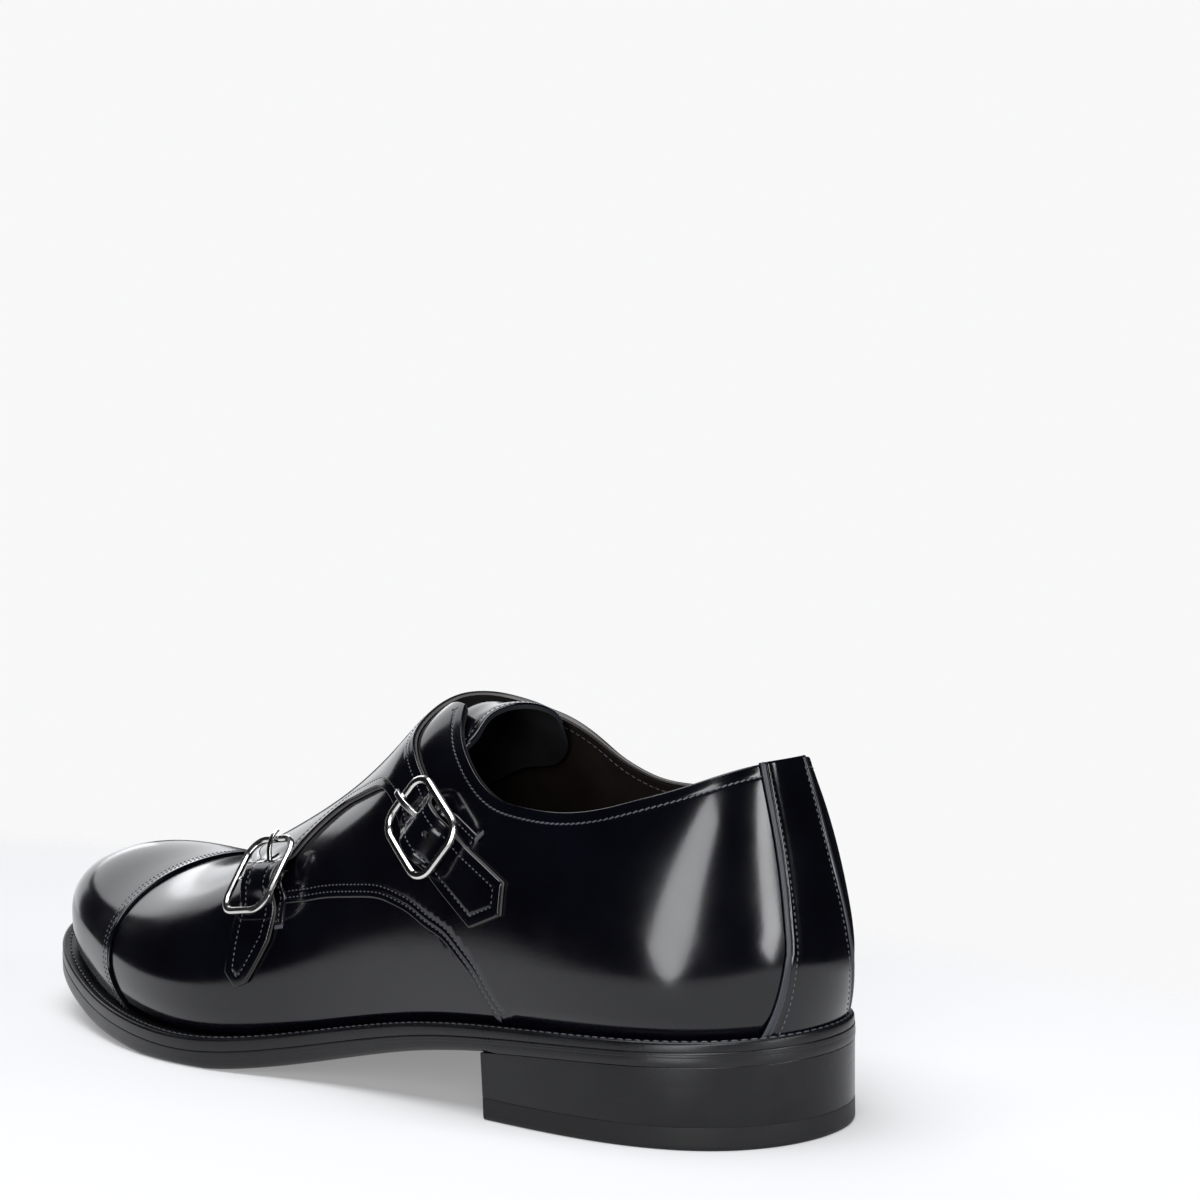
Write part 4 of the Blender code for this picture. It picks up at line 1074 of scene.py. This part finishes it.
SPARE_HOLES = (round_hole(UPPER_SEAT, 3.2, -0.3, 0.75), round_hole(LOWER_SEAT, 2.4, 2.3, 0.75))
PRONG_SLOT = (-6.2, 4.8, 2.4)
COLLAR_LINES, MEDIAL_LINE = tuple(range(8)), (8,)
straps = Panel(
    ring_of(COLLAR_EDGE, *UPPER_TIP, STRAP_FRONT, *LOWER_TIP, LOWER_FRONT_EDGE, MEDIAL_SEAM,
            ((88.0, -UNDER), (BACK, -UNDER)), ((BACK, -UNDER), (BACK, -0.513))),
    strap_top, strap_under, STRAPS_MESH,
    grooves=((COLLAR_ROW, SUNK_DEEPER, COLLAR_LINES), *((row, SUNK, MEDIAL_LINE) for row in SEAM_ROWS)),
    holes=(*SPARE_HOLES, *(slot_hole(seat, *PRONG_SLOT) for seat in SEATS)),
    finer=(BUCKLES_MESH, near_buckles),
)
rides(straps.build("quarter_medial_and_straps", [CALF, INKED, SUEDE, CUT], ((0.0, 3), (0.62, 1))),
      "upper_leather", "upper")
sew_panel(straps, COLLAR_ROW, COLLAR_LINES)
for row in SEAM_ROWS:
    sew_panel(straps, row, MEDIAL_LINE)

tongue = Panel(
    ring_of(TONGUE_EDGE, (TONGUE_EDGE[-1], TONGUE_EDGE[0])),
    tongue_top, lowered(tongue_top, TONGUE_THICKNESS), TONGUE_MESH, radius=0.75,
    grooves=((TONGUE_ROW, SUNK_DEEPER, (0,)),),
)
rides(tongue.build("tongue", [CALF, INKED, FELT]), "upper_leather", "tongue")
sew_panel(tongue, TONGUE_ROW, (0,))

# Each tab's corners and the ends of its bar tack, in its seat's axes.
TABS = {
    "upper": (((-2.5, -7.8), (14.6, -11.3), (15.9, -10.2), (17.2, -1.0), (-2.5, 4.6)),
              ((15.6, -10.0), (16.2, -13.8))),
    "lower": (((-2.5, -9.7), (12.0, -10.8), (12.9, -9.9), (13.4, 0.5), (-2.5, 4.6)),
              ((12.6, -11.6), (13.1, -8.4))),
}
TAB_LINES = (0, 1, 2, 3)
TACK_RISE = 0.25


def tab_panel(seat):
    ring = Ring(*local_line(seat, TABS[seat.name][0]))
    return Panel(ring, tab_top(seat), tab_under(seat), TAB_MESH, grooves=((TAB_ROW, SUNK, TAB_LINES),))


def bar_tack(seat):
    """Close stitches across the end of a tab."""
    start, stop = np.array(TABS[seat.name][1])
    share = np.linspace(0, 1, 9)[:, None]
    angle, turn = from_plane(seat.flat(*(start + (stop - start) * share).T))
    points = on_last(angle, turn, TAB_LIFT + TAB_THICKNESS + TACK_RISE)
    sew(points, last_normal(angle, turn), pitch=0.42, length=1.3, width=0.4, slant=np.pi / 2.3)


for seat in SEATS:
    tab = tab_panel(seat)
    node = "buckle_tab_" + seat.name
    rides(tab.build(node + "_leather", [CALF, INKED, SUEDE]), "upper_leather", node)
    sew_panel(tab, TAB_ROW, TAB_LINES)
    bar_tack(seat)


def thick_grid(made, angle, turn, top, bottom, slots, tip=False):
    """A sheet over a grid of places with walls at its borders: slots of its top, walls and back.
    With tip, its last row closes up at the toe."""
    over, under = on_last(angle, turn, top), on_last(angle, turn, bottom)
    facing = grid_normals(over)
    if tip:
        facing[-1] = last_normal(angle[-1], turn[-1])
    made.grid(over, facing, slots[0])
    made.grid(under, -facing, slots[2])
    borders(made, over, under, slots[1], (0,) if tip else (0, -1))


def borders(made, over, under, slot, ends=(0, -1)):
    """Walls between two grids along their sides, and along these of their first and last rows."""
    for edge in (0, -1):
        beside = 1 if edge == 0 else -2
        if edge in ends:
            made.wall(over[edge], under[edge], over[edge] - over[beside], slot)
        made.wall(over[:, edge], under[:, edge], over[:, edge] - over[:, beside], slot)


LINING_SPACING, LINING_SINKS_OVER = 1.6, 20


def topline_rows(line, half, top_lift):
    """A grid of places from a line down to the feather edge, and its depths below the line."""
    angle, top = from_plane(smooth_line(line, LINING_SPACING))
    share = np.concatenate([[0.0, 0.004, 0.010, 0.018, 0.030], np.linspace(0.05, 1, 30)])
    turn = top + (half * UNDER - top) * share[:, None]
    angle = np.broadcast_to(angle, turn.shape).copy()
    angle[:, 0] = 0.0
    base = last_point(angle, turn)
    lift = top_lift(angle.ravel(), turn.ravel(), base.reshape(-1, 3)).reshape(turn.shape)
    return angle, turn, lift, lengths_along(base)


lining = Builder()
LINING_LINES = (
    (1, LATERAL_TOPLINE + ((120.0, 0.168), (132.0, 0.165), (145.0, 0.20)), lateral_top),
    (-1, COLLAR_EDGE[:16] + ((120.0, -0.24), (132.0, -0.20), (145.0, -0.20)), strap_under),
)
for half, line, outside in LINING_LINES:
    angle, turn, lift, depth = topline_rows(line, half, outside)
    outer = lift - LINING_GAP - (LEATHER if half > 0 else 0.0)
    inner, low = outer - LINING_THICKNESS, ease(depth / LINING_SINKS_OVER)
    inner = np.minimum(inner, LINING_IN * low + inner * (1 - low)) + fold(depth, LINING_FOLD)
    thick_grid(lining, angle, turn, inner, outer, (0, 0, 0))
    row = int(np.argmin(np.abs(depth.mean(1) - LINING_ROW)))
    points, facing = on_last(angle, turn, inner), grid_normals(on_last(angle, turn, outer))
    sew(points[row], -facing[row], pitch=2.0, length=1.6)
# The lining's finish is its brown, darkened by painted shade.
rides(lining.build("lining", [LINING_BROWN_AND_SHADE]), "lining_leather", "upper")

# ---- toe cap and back strip ----------------------------------------------------------------------
cap_turn = np.linspace(-UNDER, UNDER, 101)
cap_share = np.sin(np.linspace(0.045, np.pi / 2, 44))
cap_share = np.concatenate([[0.0, 0.002, 0.005, 0.010, 0.018, 0.030], cap_share])
cap_station = cap_seam_at(cap_turn) + (WIDEST.last - cap_seam_at(cap_turn)) * cap_share[:, None]
cap_angle = WIDEST.angle(cap_station)
cap_angle[-1] = np.pi
cap_turn = np.broadcast_to(cap_turn, cap_angle.shape)
cap_depth = lengths_along(last_point(cap_angle, cap_turn))
cap_lift = CAP_TOP - fold(cap_depth, CAP_FOLD) - sum(groove(cap_depth, row, SUNK) for row in CAP_ROWS)
cap = Builder()
thick_grid(cap, cap_angle, cap_turn, cap_lift, np.full_like(cap_lift, CAP_UNDER), (0, 1, 2), tip=True)
rides(cap.build("toe_cap_leather", [CALF, INKED, SUEDE]), "upper_leather", "toe_cap")


def sew_grid(angle, turn, lift, depth, at):
    """Stitches across a grid's columns where its depth reaches a value."""
    points = on_last(angle, turn, lift)
    row = np.array([np.interp(at, column, np.arange(len(column))) for column in depth.T])
    low = np.minimum(row.astype(int), len(depth) - 2)
    part = (row - low)[:, None]
    column = np.arange(points.shape[1])
    sew(*(values[low, column] * (1 - part) + values[low + 1, column] * part
          for values in (points, grid_normals(points))))


for row in CAP_ROWS:
    sew_grid(cap_angle, cap_turn, cap_lift, cap_depth, row)


STRIP_ABOVE = 0.006
STRIP_BEAD_EASE, STRIP_BEAD_GROOVE = 0.5, 0.3
STRIP_AXIS_AHEAD = 20.0


def strip_half(half, across, down):
    """Places and lift of one half of the back strip; across runs from the heel's centre to its edge."""
    edge = LATERAL_TOPLINE if half > 0 else [(station, -turn) for station, turn in COLLAR_EDGE]
    turn = np.broadcast_to(edge[0][1] - STRIP_ABOVE, (1, len(across)))
    for _ in range(3):
        angle = np.interp(STRIP_EDGE(turn) * across, LENGTHS, ANGLES)
        turn = np.interp(WIDEST.station(angle), *np.array(edge)[:5].T) - STRIP_ABOVE
    turn = turn + (UNDER - turn) * down
    angle = np.interp(STRIP_EDGE(turn) * across, LENGTHS, ANGLES)
    base = last_point(angle, half * turn)
    side_depth = lengths_along(base[:, ::-1].swapaxes(0, 1)).swapaxes(0, 1)[:, ::-1]
    bead = STRIP_BEAD * ease((STRIP_BEAD_WIDTH - side_depth) / STRIP_BEAD_EASE)
    folds = fold(side_depth, STRIP_FOLD) + fold(lengths_along(base), CAP_FOLD)
    beside_bead = groove(side_depth, STRIP_BEAD_WIDTH, SUNK_DEEPER, STRIP_BEAD_GROOVE)
    lift = STRIP_TOP + bead - folds - beside_bead - groove(side_depth, STRIP_ROW, SUNK)
    return angle, half * turn, lift, side_depth


strip_across = np.concatenate(
    [np.linspace(0, 0.72, 14), np.linspace(0.75, 0.97, 16), [0.98, 0.988, 0.994, 1.0]])
strip_down = np.concatenate([[0.0, 0.003, 0.007, 0.014, 0.026], np.linspace(0.045, 1, 50)])[:, None]
lateral_half, medial_half = (strip_half(half, strip_across, strip_down) for half in (1, -1))
strip_angle, strip_turn, strip_lift, strip_depth = (
    np.concatenate([medial[:, :0:-1], lateral], 1)
    for lateral, medial in zip(lateral_half, medial_half))
centre = len(strip_across) - 1
strip = Builder()
over = on_last(strip_angle, strip_turn, strip_lift)
under = on_last(strip_angle, strip_turn, np.zeros_like(strip_lift))
facing = grid_normals(over)
outward = over - (0.0, over[:, centre, 1].mean() - STRIP_AXIS_AHEAD, 0.0)
facing = facing * np.sign((facing * outward * (1.0, 1.0, 0.0)).sum(-1, keepdims=True))
beads = strip_depth.mean(0) < STRIP_BEAD_WIDTH
edges = int(beads[:centre].sum())
# Slot 3, the raised edge beads, carries the blue grey painted highlight.
for part, slot in ((slice(0, edges + 1), 3), (slice(edges, -edges), 0), (slice(-edges - 1, None), 3)):
    strip.grid(over[:, part], facing[:, part], slot)
strip.grid(under, -facing, 2)
borders(strip, over, under, 1)
for side in (slice(0, centre), slice(centre, None)):
    nearest = int(np.argmin(np.abs(strip_depth.mean(0)[side] - STRIP_ROW)))
    column = np.arange(2 * centre + 1)[side][nearest]
    sew(over[4:, column], facing[4:, column])
rides(strip.build("back_strip_leather", [CALF, INKED, SUEDE, PAINTED_HIGHLIGHT_BEAD]), "upper_leather", "back_strip")

# ---- bottom: an inset is a distance in from the sole's edge, a height a function of the station ----
ROUND_STEPS, HEEL_STEPS = 281, 91
LINE_DEPTH, LINE_HALF_WIDTH = 0.05, 0.09


def above(base, rise):
    return lambda station: base(station) + rise


def share_of_edge(share):
    return lambda station: SOLE["underside"](station) + share * SOLE["edge_thickness"](station)


def level(height):
    return lambda station: np.full_like(station, height)


def underside(station):
    return np.maximum(SOLE["underside"](station), 0.0)


def edge_line(inset, height, breast=None):
    """Points round the sole at an inset from its edge: all the way, or from breast to breast."""
    plan = Plan(inset)
    end, steps = (np.pi, ROUND_STEPS) if breast is None else (plan.angle(breast), HEEL_STEPS)
    angle = np.linspace(0, end, steps)
    station = plan.station(angle)
    lateral, medial = (
        np.stack([plan.side(half, angle), station, height(station)], -1) for half in (1, -1))
    if breast is None:
        return to_world(np.concatenate([lateral, medial[-2:0:-1]]))
    return to_world(np.concatenate([lateral[::-1], medial[1:]]))


def bands(made, profile, slot=0, breast=None):
    """Bands between levels of (inset, height), bottom first, shaded as one surface."""
    points = np.stack([edge_line(inset, height, breast) for inset, height in profile])
    facing = grid_normals(points, breast is None) * (1.0 if breast is None else -1.0)
    made.grid(points, facing, slot, breast is None)


def across_rows(inset, height, breast, dish=0.0):
    """A grid over the sole at one level: rows to the toe, columns to the medial side."""
    line = edge_line(inset, height, breast)
    if breast is None:
        lateral = line[:ROUND_STEPS]
        medial = np.concatenate([line[:1], line[: ROUND_STEPS - 2 : -1]])
    else:
        lateral, medial = line[HEEL_STEPS - 1 :: -1], line[HEEL_STEPS - 1 :]
    share = np.linspace(0, 1, 25)[None, :, None]
    points = lateral[:, None] * (1 - share) + medial[:, None] * share
    points[..., 2] -= dish * (1 - (2 * share[..., 0] - 1) ** 2)
    return points


def plate(made, inset, height, up, slot=0, breast=None, dish=0.0):
    points = across_rows(inset, height, breast, dish)
    facing = grid_normals(points)
    facing = facing * np.where(facing[..., 2] * up < 0, -1.0, 1.0)[..., None]
    flat = np.linalg.norm(facing, axis=-1, keepdims=True) < 0.5
    made.grid(points, np.where(flat, (0.0, 0.0, up), facing), slot)


def layered(low, high, insets, cuts):
    """A profile between two heights with fine lines cut round it; insets at the bottom and top."""
    profile = []
    for share, cut in cuts:
        height = lambda station, share=share: low(station) + share * (high(station) - low(station))
        inset = insets[0] + share * (insets[1] - insets[0])
        if cut:
            profile += [(inset, above(height, -LINE_HALF_WIDTH)), (inset + LINE_DEPTH, height),
                        (inset, above(height, LINE_HALF_WIDTH))]
        else:
            profile.append((inset, height))
    return profile


welt = Builder()
WELT_FACE, WELT_HIDDEN = WELT_WIDTH + 1.6, WELT_WIDTH + 6.9
WELT_SLOT, SLOT_REACH = 0.43, 0.07
welt_low = share_of_edge(OUTSOLE_SHARE)
welt_foot = above(welt_low, 0.05)
bands(welt, [(0.30, welt_foot), (0.16, above(welt_low, 0.16)), (0.20, above(welt_top, -0.85)),
             (0.42, above(welt_top, -0.45)), (0.66, above(welt_top, -0.14)),
             (1.0, above(welt_top, -0.02)),
             (WELT_WIDTH * (WELT_SLOT - SLOT_REACH), welt_top),
             (WELT_WIDTH * WELT_SLOT, above(welt_top, -0.16)),
             (WELT_WIDTH * (WELT_SLOT + SLOT_REACH), welt_top),
             (WELT_WIDTH * 0.8, above(welt_top, 0.02)), (WELT_FACE, welt_top)])
bands(welt, [(WELT_HIDDEN, welt_foot), (0.30, welt_foot)])
bands(welt, [(WELT_FACE, welt_top), (WELT_HIDDEN, above(welt_top, -0.10)), (WELT_HIDDEN, welt_foot)])
rides(welt.build("welt_strip", [SOLE_EDGE]), "sole_edge", "welt")
welt_line = edge_line(WELT_WIDTH * WELT_SLOT, above(welt_top, -0.06))
welt_line = np.concatenate([welt_line, welt_line[:1]])
sew(welt_line, np.broadcast_to((0.0, 0.0, 1.0), welt_line.shape), pitch=2.5, length=2.1, width=0.62,
    height=0.5)

outsole = Builder()
sole_profile = layered(above(underside, 1.4), welt_low, (0.0, 0.05),
                       ((0.0, False), (0.42, True), (0.72, True), (0.97, False)))
UNDER_HEEL = 6
IN_FRONT = ease((SOLE_POINTS[:, 0] - HEEL_BREAST + UNDER_HEEL) / UNDER_HEEL)
sole_low, sole_high = (0.25 + 1.25 * IN_FRONT, underside), (0.3, above(welt_low, 0.02))
bands(outsole, [sole_low, (0.12 + 0.78 * IN_FRONT, above(underside, 0.15)),
                (0.06 + 0.36 * IN_FRONT, above(underside, 0.5)),
                (0.12 * IN_FRONT, above(underside, 0.95)), *sole_profile,
                (0.2, above(welt_low, -0.02)), sole_high])
plate(outsole, *sole_low, -1.0, 1)
plate(outsole, *sole_high, 1.0, 1)
rides(outsole.build("outsole_leather", [SOLE_EDGE, SOLE_UNDER]), "sole_edge", "outsole")


def heel_piece(name, profile, material, slot, node):
    """A closed piece that ends at the heel breast; its profile is (inset, height), bottom first."""
    made = Builder()
    bands(made, profile, 0, HEEL_BREAST)
    for end, up in ((0, -1.0), (-1, 1.0)):
        plate(made, *profile[end], up, 0, HEEL_BREAST)
    bottom, top = (across_rows(*profile[end], HEEL_BREAST)[-1] for end in (0, -1))
    share = np.linspace(0, 1, 8)[:, None, None]
    front = bottom * (1 - share) + top * share
    made.grid(front, np.broadcast_to((0.0, -1.0, 0.0), front.shape))
    rides(made.build(name, [material]), slot, node)


HEEL_ROUNDED = 0.12
HEEL_TOP_INSET = HEEL_TAPER * 0.3
heel_low, heel_high = level(TOP_LIFT + 0.03), above(SOLE["underside"], -0.02)
heel_profile = layered(heel_low, heel_high, (HEEL_TAPER, HEEL_TOP_INSET),
                       ((0.03, False), (0.34, True), (0.66, True), (0.985, False)))
heel_piece("heel_stack", [(HEEL_TAPER + HEEL_ROUNDED, heel_low), *heel_profile,
                          (HEEL_TOP_INSET + HEEL_ROUNDED, heel_high)], HEEL_STACK, "heel_leather",
           "heel_block")
heel_piece("heel_top_lift", [
    (HEEL_TAPER + 0.8, level(0.0)), (HEEL_TAPER + 0.35, level(0.2)), (HEEL_TAPER + 0.08, level(0.7)),
    (HEEL_TAPER, level(1.4)), (HEEL_TAPER, level(TOP_LIFT - 0.15)),
    (HEEL_TAPER + HEEL_ROUNDED, level(TOP_LIFT)),
], RUBBER, "heel_rubber", "top_lift")

sock = Builder()
sock_inset = WELT_WIDTH + 2.2
sock_low, sock_high = (sock_inset, above(welt_top, 0.05)), (sock_inset, above(welt_top, 3.0))
bands(sock, [sock_low, sock_high])
plate(sock, *sock_high, 1.0, dish=0.6)
plate(sock, *sock_low, -1.0)
rides(sock.build("sock_leather", [SOCK]), "lining_leather", "insole")

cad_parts["cork_filler"].data.materials.clear()
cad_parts["cork_filler"].data.materials.append(CORK)

# ---- buckles -------------------------------------------------------------------------------------
FRAME_ACROSS, FRAME_ALONG, FRAME_BAND, FRAME_CORNER = 21.8, 26.0, 2.2, 6.6
FRAME_HEIGHT, FRAME_BOW = 4.6, 0.3
BAR_RADIUS, BAR_HEIGHT = 0.8, 2.65
# The frame's section in flat faces: (out from the band's middle, up) places, so that edges stay sharp.
FRAME_FLATS = (
    ((1.0, -0.45), (1.1, -0.15), (1.1, 0.25), (1.03, 0.38)),
    ((1.03, 0.38), (0.62, 0.76), (0.52, 0.80)),
    ((0.52, 0.80), (-0.52, 0.80), (-0.62, 0.76)),
    ((-0.62, 0.76), (-1.03, 0.38), (-1.1, 0.25)),
    ((-1.1, 0.25), (-1.1, -0.15), (-1.0, -0.45)),
    ((-1.0, -0.45), (-0.65, -0.80), (0.65, -0.80), (1.0, -0.45)),
)
PRONG_WIDTH, PRONG_THICKNESS, PRONG_EDGE = 1.7, 0.85, 0.28


def loop_points(along, across, radius, steps):
    """A rounded rectangle: (along, across) places and their outward directions."""
    places = []
    for quarter_turn, sign in enumerate(np.array(((1, 1), (-1, 1), (-1, -1), (1, -1)))):
        for k in range(steps + 1):
            bearing = (quarter_turn + k / steps) * np.pi / 2
            outward = np.array([np.cos(bearing), np.sin(bearing)])
            corner = sign * (along / 2 - radius, across / 2 - radius)
            places.append((corner + radius * outward, outward))
    return places


def frame_height(along):
    return FRAME_HEIGHT - FRAME_BOW * (2 * along / FRAME_ALONG) ** 2


def buckle_frame(made, seat):
    path = loop_points(FRAME_ALONG - FRAME_BAND, FRAME_ACROSS - FRAME_BAND,
                       FRAME_CORNER - FRAME_BAND / 2, 12)
    filled = []
    for (start, facing), (stop, _) in zip(path, path[1:] + path[:1]):
        steps = max(1, int(np.hypot(*(stop - start))))
        filled += [(start + (stop - start) * k / steps, facing) for k in range(steps)]
    spine = np.array([seat.place(*place, frame_height(place[0])) for place, _ in filled])
    for flat in FRAME_FLATS:
        rows = np.array([[seat.place(*(place + outward * out), frame_height(place[0]) + up)
                          for place, outward in filled] for out, up in flat])
        facing = grid_normals(rows, True)
        outside = np.sign(((rows - spine) * facing).sum(-1, keepdims=True).mean(axis=(0, 1)))
        made.grid(rows, facing * outside, 0, True)


def sweep(made, seat, path, section, places):
    """A closed section along a path; places turns a path point and section points into local axes."""
    rows, facing = [], []
    for point, (run, climb) in zip(path, unit(np.gradient(path, axis=0))):
        rows.append(seat.place(*places(point, run, climb, section[0])))
        facing.append(seat.place(*places((0, 0), run, climb, section[1])) - seat.origin)
    made.grid(np.array(rows), np.array(facing), 0, True)
    return np.array(rows)


def prong_rod(made, seat):
    """A flat bar along the (along, height) points of a seat's middle plane, closed at its ends."""
    count = len(PRONG_PATH)
    path = spline(np.arange(count), np.array(PRONG_PATH))(np.linspace(0, count - 1, 6 * count))
    half, tall = PRONG_WIDTH / 2 - PRONG_EDGE, PRONG_THICKNESS / 2 - PRONG_EDGE
    section = []
    for side, up, start in ((1, 1, 0), (-1, 1, 1), (-1, -1, 2), (1, -1, 3)):
        for k in range(4):
            bearing = (start + k / 3) * np.pi / 2
            out = np.array([np.cos(bearing), np.sin(bearing)])
            section.append([*((side * half, up * tall) + PRONG_EDGE * out), *out])
    section = np.array(section).T

    def places(point, run, climb, shape):
        side, up = shape
        return point[0] - climb * up, side, point[1] + run * up

    rows = sweep(made, seat, path, (section[:2], section[2:]), places)
    heading = unit(np.gradient(path, axis=0))
    for end, out in ((0, -1), (-1, 1)):
        outward = seat.place(heading[end, 0] * out, 0, heading[end, 1] * out) - seat.origin
        fan = np.stack([rows[end], np.broadcast_to(rows[end].mean(0), rows[end].shape)])
        made.grid(fan, np.broadcast_to(outward, fan.shape), 0, True)


PRONG_PATH = (
    (-1.6, 2.6), (-3.2, 2.45), (-4.6, 2.7), (-6.2, 3.6), (-8.2, 4.8), (-10.2, 5.45), (-12.2, 5.6),
    (-13.6, 5.45), (-14.4, 5.15),
)


def centre_bar(made, seat):
    """A round bar along (across, height) points, turned down from the frame at both ends."""
    reach = (FRAME_ACROSS - FRAME_BAND) / 2
    half = [(reach - 0.75, BAR_HEIGHT), (reach, 3.4), (reach, FRAME_HEIGHT - 0.5)]
    path = np.array([(-across, height) for across, height in half[::-1]] + [(0, BAR_HEIGHT)] + half)
    bearing = np.linspace(0, 2 * np.pi, 17)[:-1]
    circle = np.array([np.cos(bearing), np.sin(bearing)])

    def places(point, run, climb, shape):
        return shape[0], point[0] - climb * shape[1], point[1] + run * shape[1]

    sweep(made, seat, path, (BAR_RADIUS * circle, circle), places)


for seat in SEATS:
    metal = Builder()
    buckle_frame(metal, seat)
    centre_bar(metal, seat)
    rides(metal.build("buckle_" + seat.name + "_metal", [NICKEL]), "buckle_metal",
          "buckle_frame_" + seat.name)
    prong = Builder()
    prong_rod(prong, seat)
    rides(prong.build("prong_" + seat.name + "_metal", [NICKEL]), "buckle_metal", "prong_" + seat.name)

rides(THREAD.build("stitching", [COTTON]), "thread")

# ---- floor, light and camera ---------------------------------------------------------------------
scene = bpy.context.scene
scene.view_settings.view_transform = "Standard"
scene.view_settings.look = "None"


def world_light(seen, given):
    """A plain world: one brightness where the camera looks, another where it lights and reflects."""
    world = bpy.data.worlds.new("plain surround")
    scene.world = world
    world.use_nodes = True
    tree = world.node_tree
    back = tree.nodes["Background"]
    back.inputs["Color"].default_value = (*seen, 1)
    lit = add_node(tree, "Background", {"Color": (*given, 1)})
    mix = add_node(tree, "MixShader", links={
        "Fac": add_node(tree, "LightPath").outputs["Is Camera Ray"],
        1: lit.outputs["Background"], 2: back.outputs["Background"],
    })
    tree.links.new(mix.outputs["Shader"], tree.nodes["World Output"].inputs["Surface"])


WORLD_SEEN, WORLD_GIVEN = (0.94, 0.94, 0.945), (0.012, 0.012, 0.014)
world_light(WORLD_SEEN, WORLD_GIVEN)

FLOOR_RADIUS = 0.9
FLOOR_REACH = (0.21, 0.55)
FLOOR_OFFSET = 0.1
FLOOR_FADE = (0.85, 1.15)


def floor():
    """A pale disc that fades out round the shoe."""
    mesh = bpy.data.meshes.new("floor")
    bearing = np.linspace(0, 2 * np.pi, 97)[:-1]
    rim = np.column_stack([np.cos(bearing), np.sin(bearing), 0 * bearing]) * FLOOR_RADIUS
    mesh.from_pydata(rim.tolist(), [], [list(range(len(rim)))])
    made = bpy.data.objects.new("floor", mesh)
    scene.collection.objects.link(made)
    paint, tree, shader = new_material("pale floor")
    fill_in(tree, shader, {
        "Base Color": (0.60, 0.60, 0.605, 1), "Roughness": 0.9, "Specular IOR Level": 0.0,
        "Emission Color": (1.0, 1.0, 1.005, 1), "Emission Strength": 0.24,
    }, {})
    table_top = add_node(tree, "Mapping", {
        "Location": (0.0, FLOOR_OFFSET / FLOOR_REACH[1], 0.0),
        "Scale": (1 / FLOOR_REACH[0], 1 / FLOOR_REACH[1], 1.0),
    }, {"Vector": add_node(tree, "TexCoord").outputs["Object"]})
    length = add_node(tree, "VectorMath", links={0: table_top.outputs["Vector"]})
    length.operation = "LENGTH"
    fade = add_node(tree, "MapRange", {"From Min": FLOOR_FADE[0], "From Max": FLOOR_FADE[1]},
                    {"Value": length.outputs["Value"]})
    fade.interpolation_type = "SMOOTHSTEP"
    mix = add_node(tree, "MixShader", links={
        "Fac": fade.outputs["Result"], 1: shader.outputs["BSDF"],
        2: add_node(tree, "BsdfTransparent").outputs["BSDF"],
    })
    tree.links.new(mix.outputs["Shader"], tree.nodes["Material Output"].inputs["Surface"])
    mesh.materials.append(paint)


floor()

LIGHTS_AIM = Vector((0.0, 0.0, 0.05))
LIGHTS_COLOUR = (0.97, 0.98, 1.0)
POWER_PER_AREA = 4


def heading_to(azimuth, elevation):
    """A direction away from the shoe, from radians; azimuth 0 is the toe's side, pi / 2 is +X."""
    flat = np.cos(elevation)
    return Vector((np.sin(azimuth) * flat, -np.cos(azimuth) * flat, np.sin(elevation)))


def softbox(name, azimuth, elevation, distance, width, height, radiance, tilt):
    """A soft area light on a sphere round the shoe, with its angles in degrees."""
    away = heading_to(*np.radians((azimuth, elevation)))
    light = bpy.data.lights.new(name, "AREA")
    light.shape = "RECTANGLE"
    light.size, light.size_y = width, height
    light.energy = radiance * POWER_PER_AREA * width * height
    light.color = LIGHTS_COLOUR
    made = bpy.data.objects.new(name, light)
    made.location = LIGHTS_AIM + away * distance
    faced = away.to_track_quat("Z", "Y").to_matrix().to_4x4()
    made.rotation_euler = (faced @ Matrix.Rotation(-np.radians(tilt), 4, "Z")).to_euler()
    made.visible_camera = False
    scene.collection.objects.link(made)


# name, azimuth, elevation, distance, width, height, radiance, tilt
SOFTBOXES = (
    ("overhead", 100, 80, 1.6, 1.6, 1.2, 3.9, 0),
    ("lateral", 120, 10, 1.4, 0.42, 1.7, 6.2, 45),
    ("rear", 185, 12, 1.4, 0.24, 0.95, 8.0, 42),
    ("behind", 325, 22, 1.8, 0.9, 2.4, 1.3, 57),
    ("beyond_toe", 342, 4, 1.8, 1.0, 0.8, 1.1, 0),
)
for box in SOFTBOXES:
    softbox(*box)

FOCAL_LENGTH, SENSOR_WIDTH = 81.39, 36.0
CLIP_START = 0.01
CAMERA_PLACE = (0.52813, 0.57693, 0.18584)
CAMERA_AZIMUTH, CAMERA_ELEVATION, CAMERA_ROLL = np.radians((133.36, 4.02, -1.6))


def camera():
    made = bpy.data.objects.new("camera", bpy.data.cameras.new("camera"))
    made.data.sensor_width = SENSOR_WIDTH
    made.data.lens = FOCAL_LENGTH
    made.data.clip_start = CLIP_START
    back = heading_to(CAMERA_AZIMUTH, CAMERA_ELEVATION)
    level = Vector((np.cos(CAMERA_AZIMUTH), np.sin(CAMERA_AZIMUTH), 0.0))
    up = back.cross(level)
    right = level * np.cos(CAMERA_ROLL) + up * np.sin(CAMERA_ROLL)
    up = up * np.cos(CAMERA_ROLL) - level * np.sin(CAMERA_ROLL)
    placed = Matrix((right, up, back)).transposed().to_4x4()
    placed.translation = CAMERA_PLACE
    made.matrix_world = placed
    scene.collection.objects.link(made)
    scene.camera = made


camera()
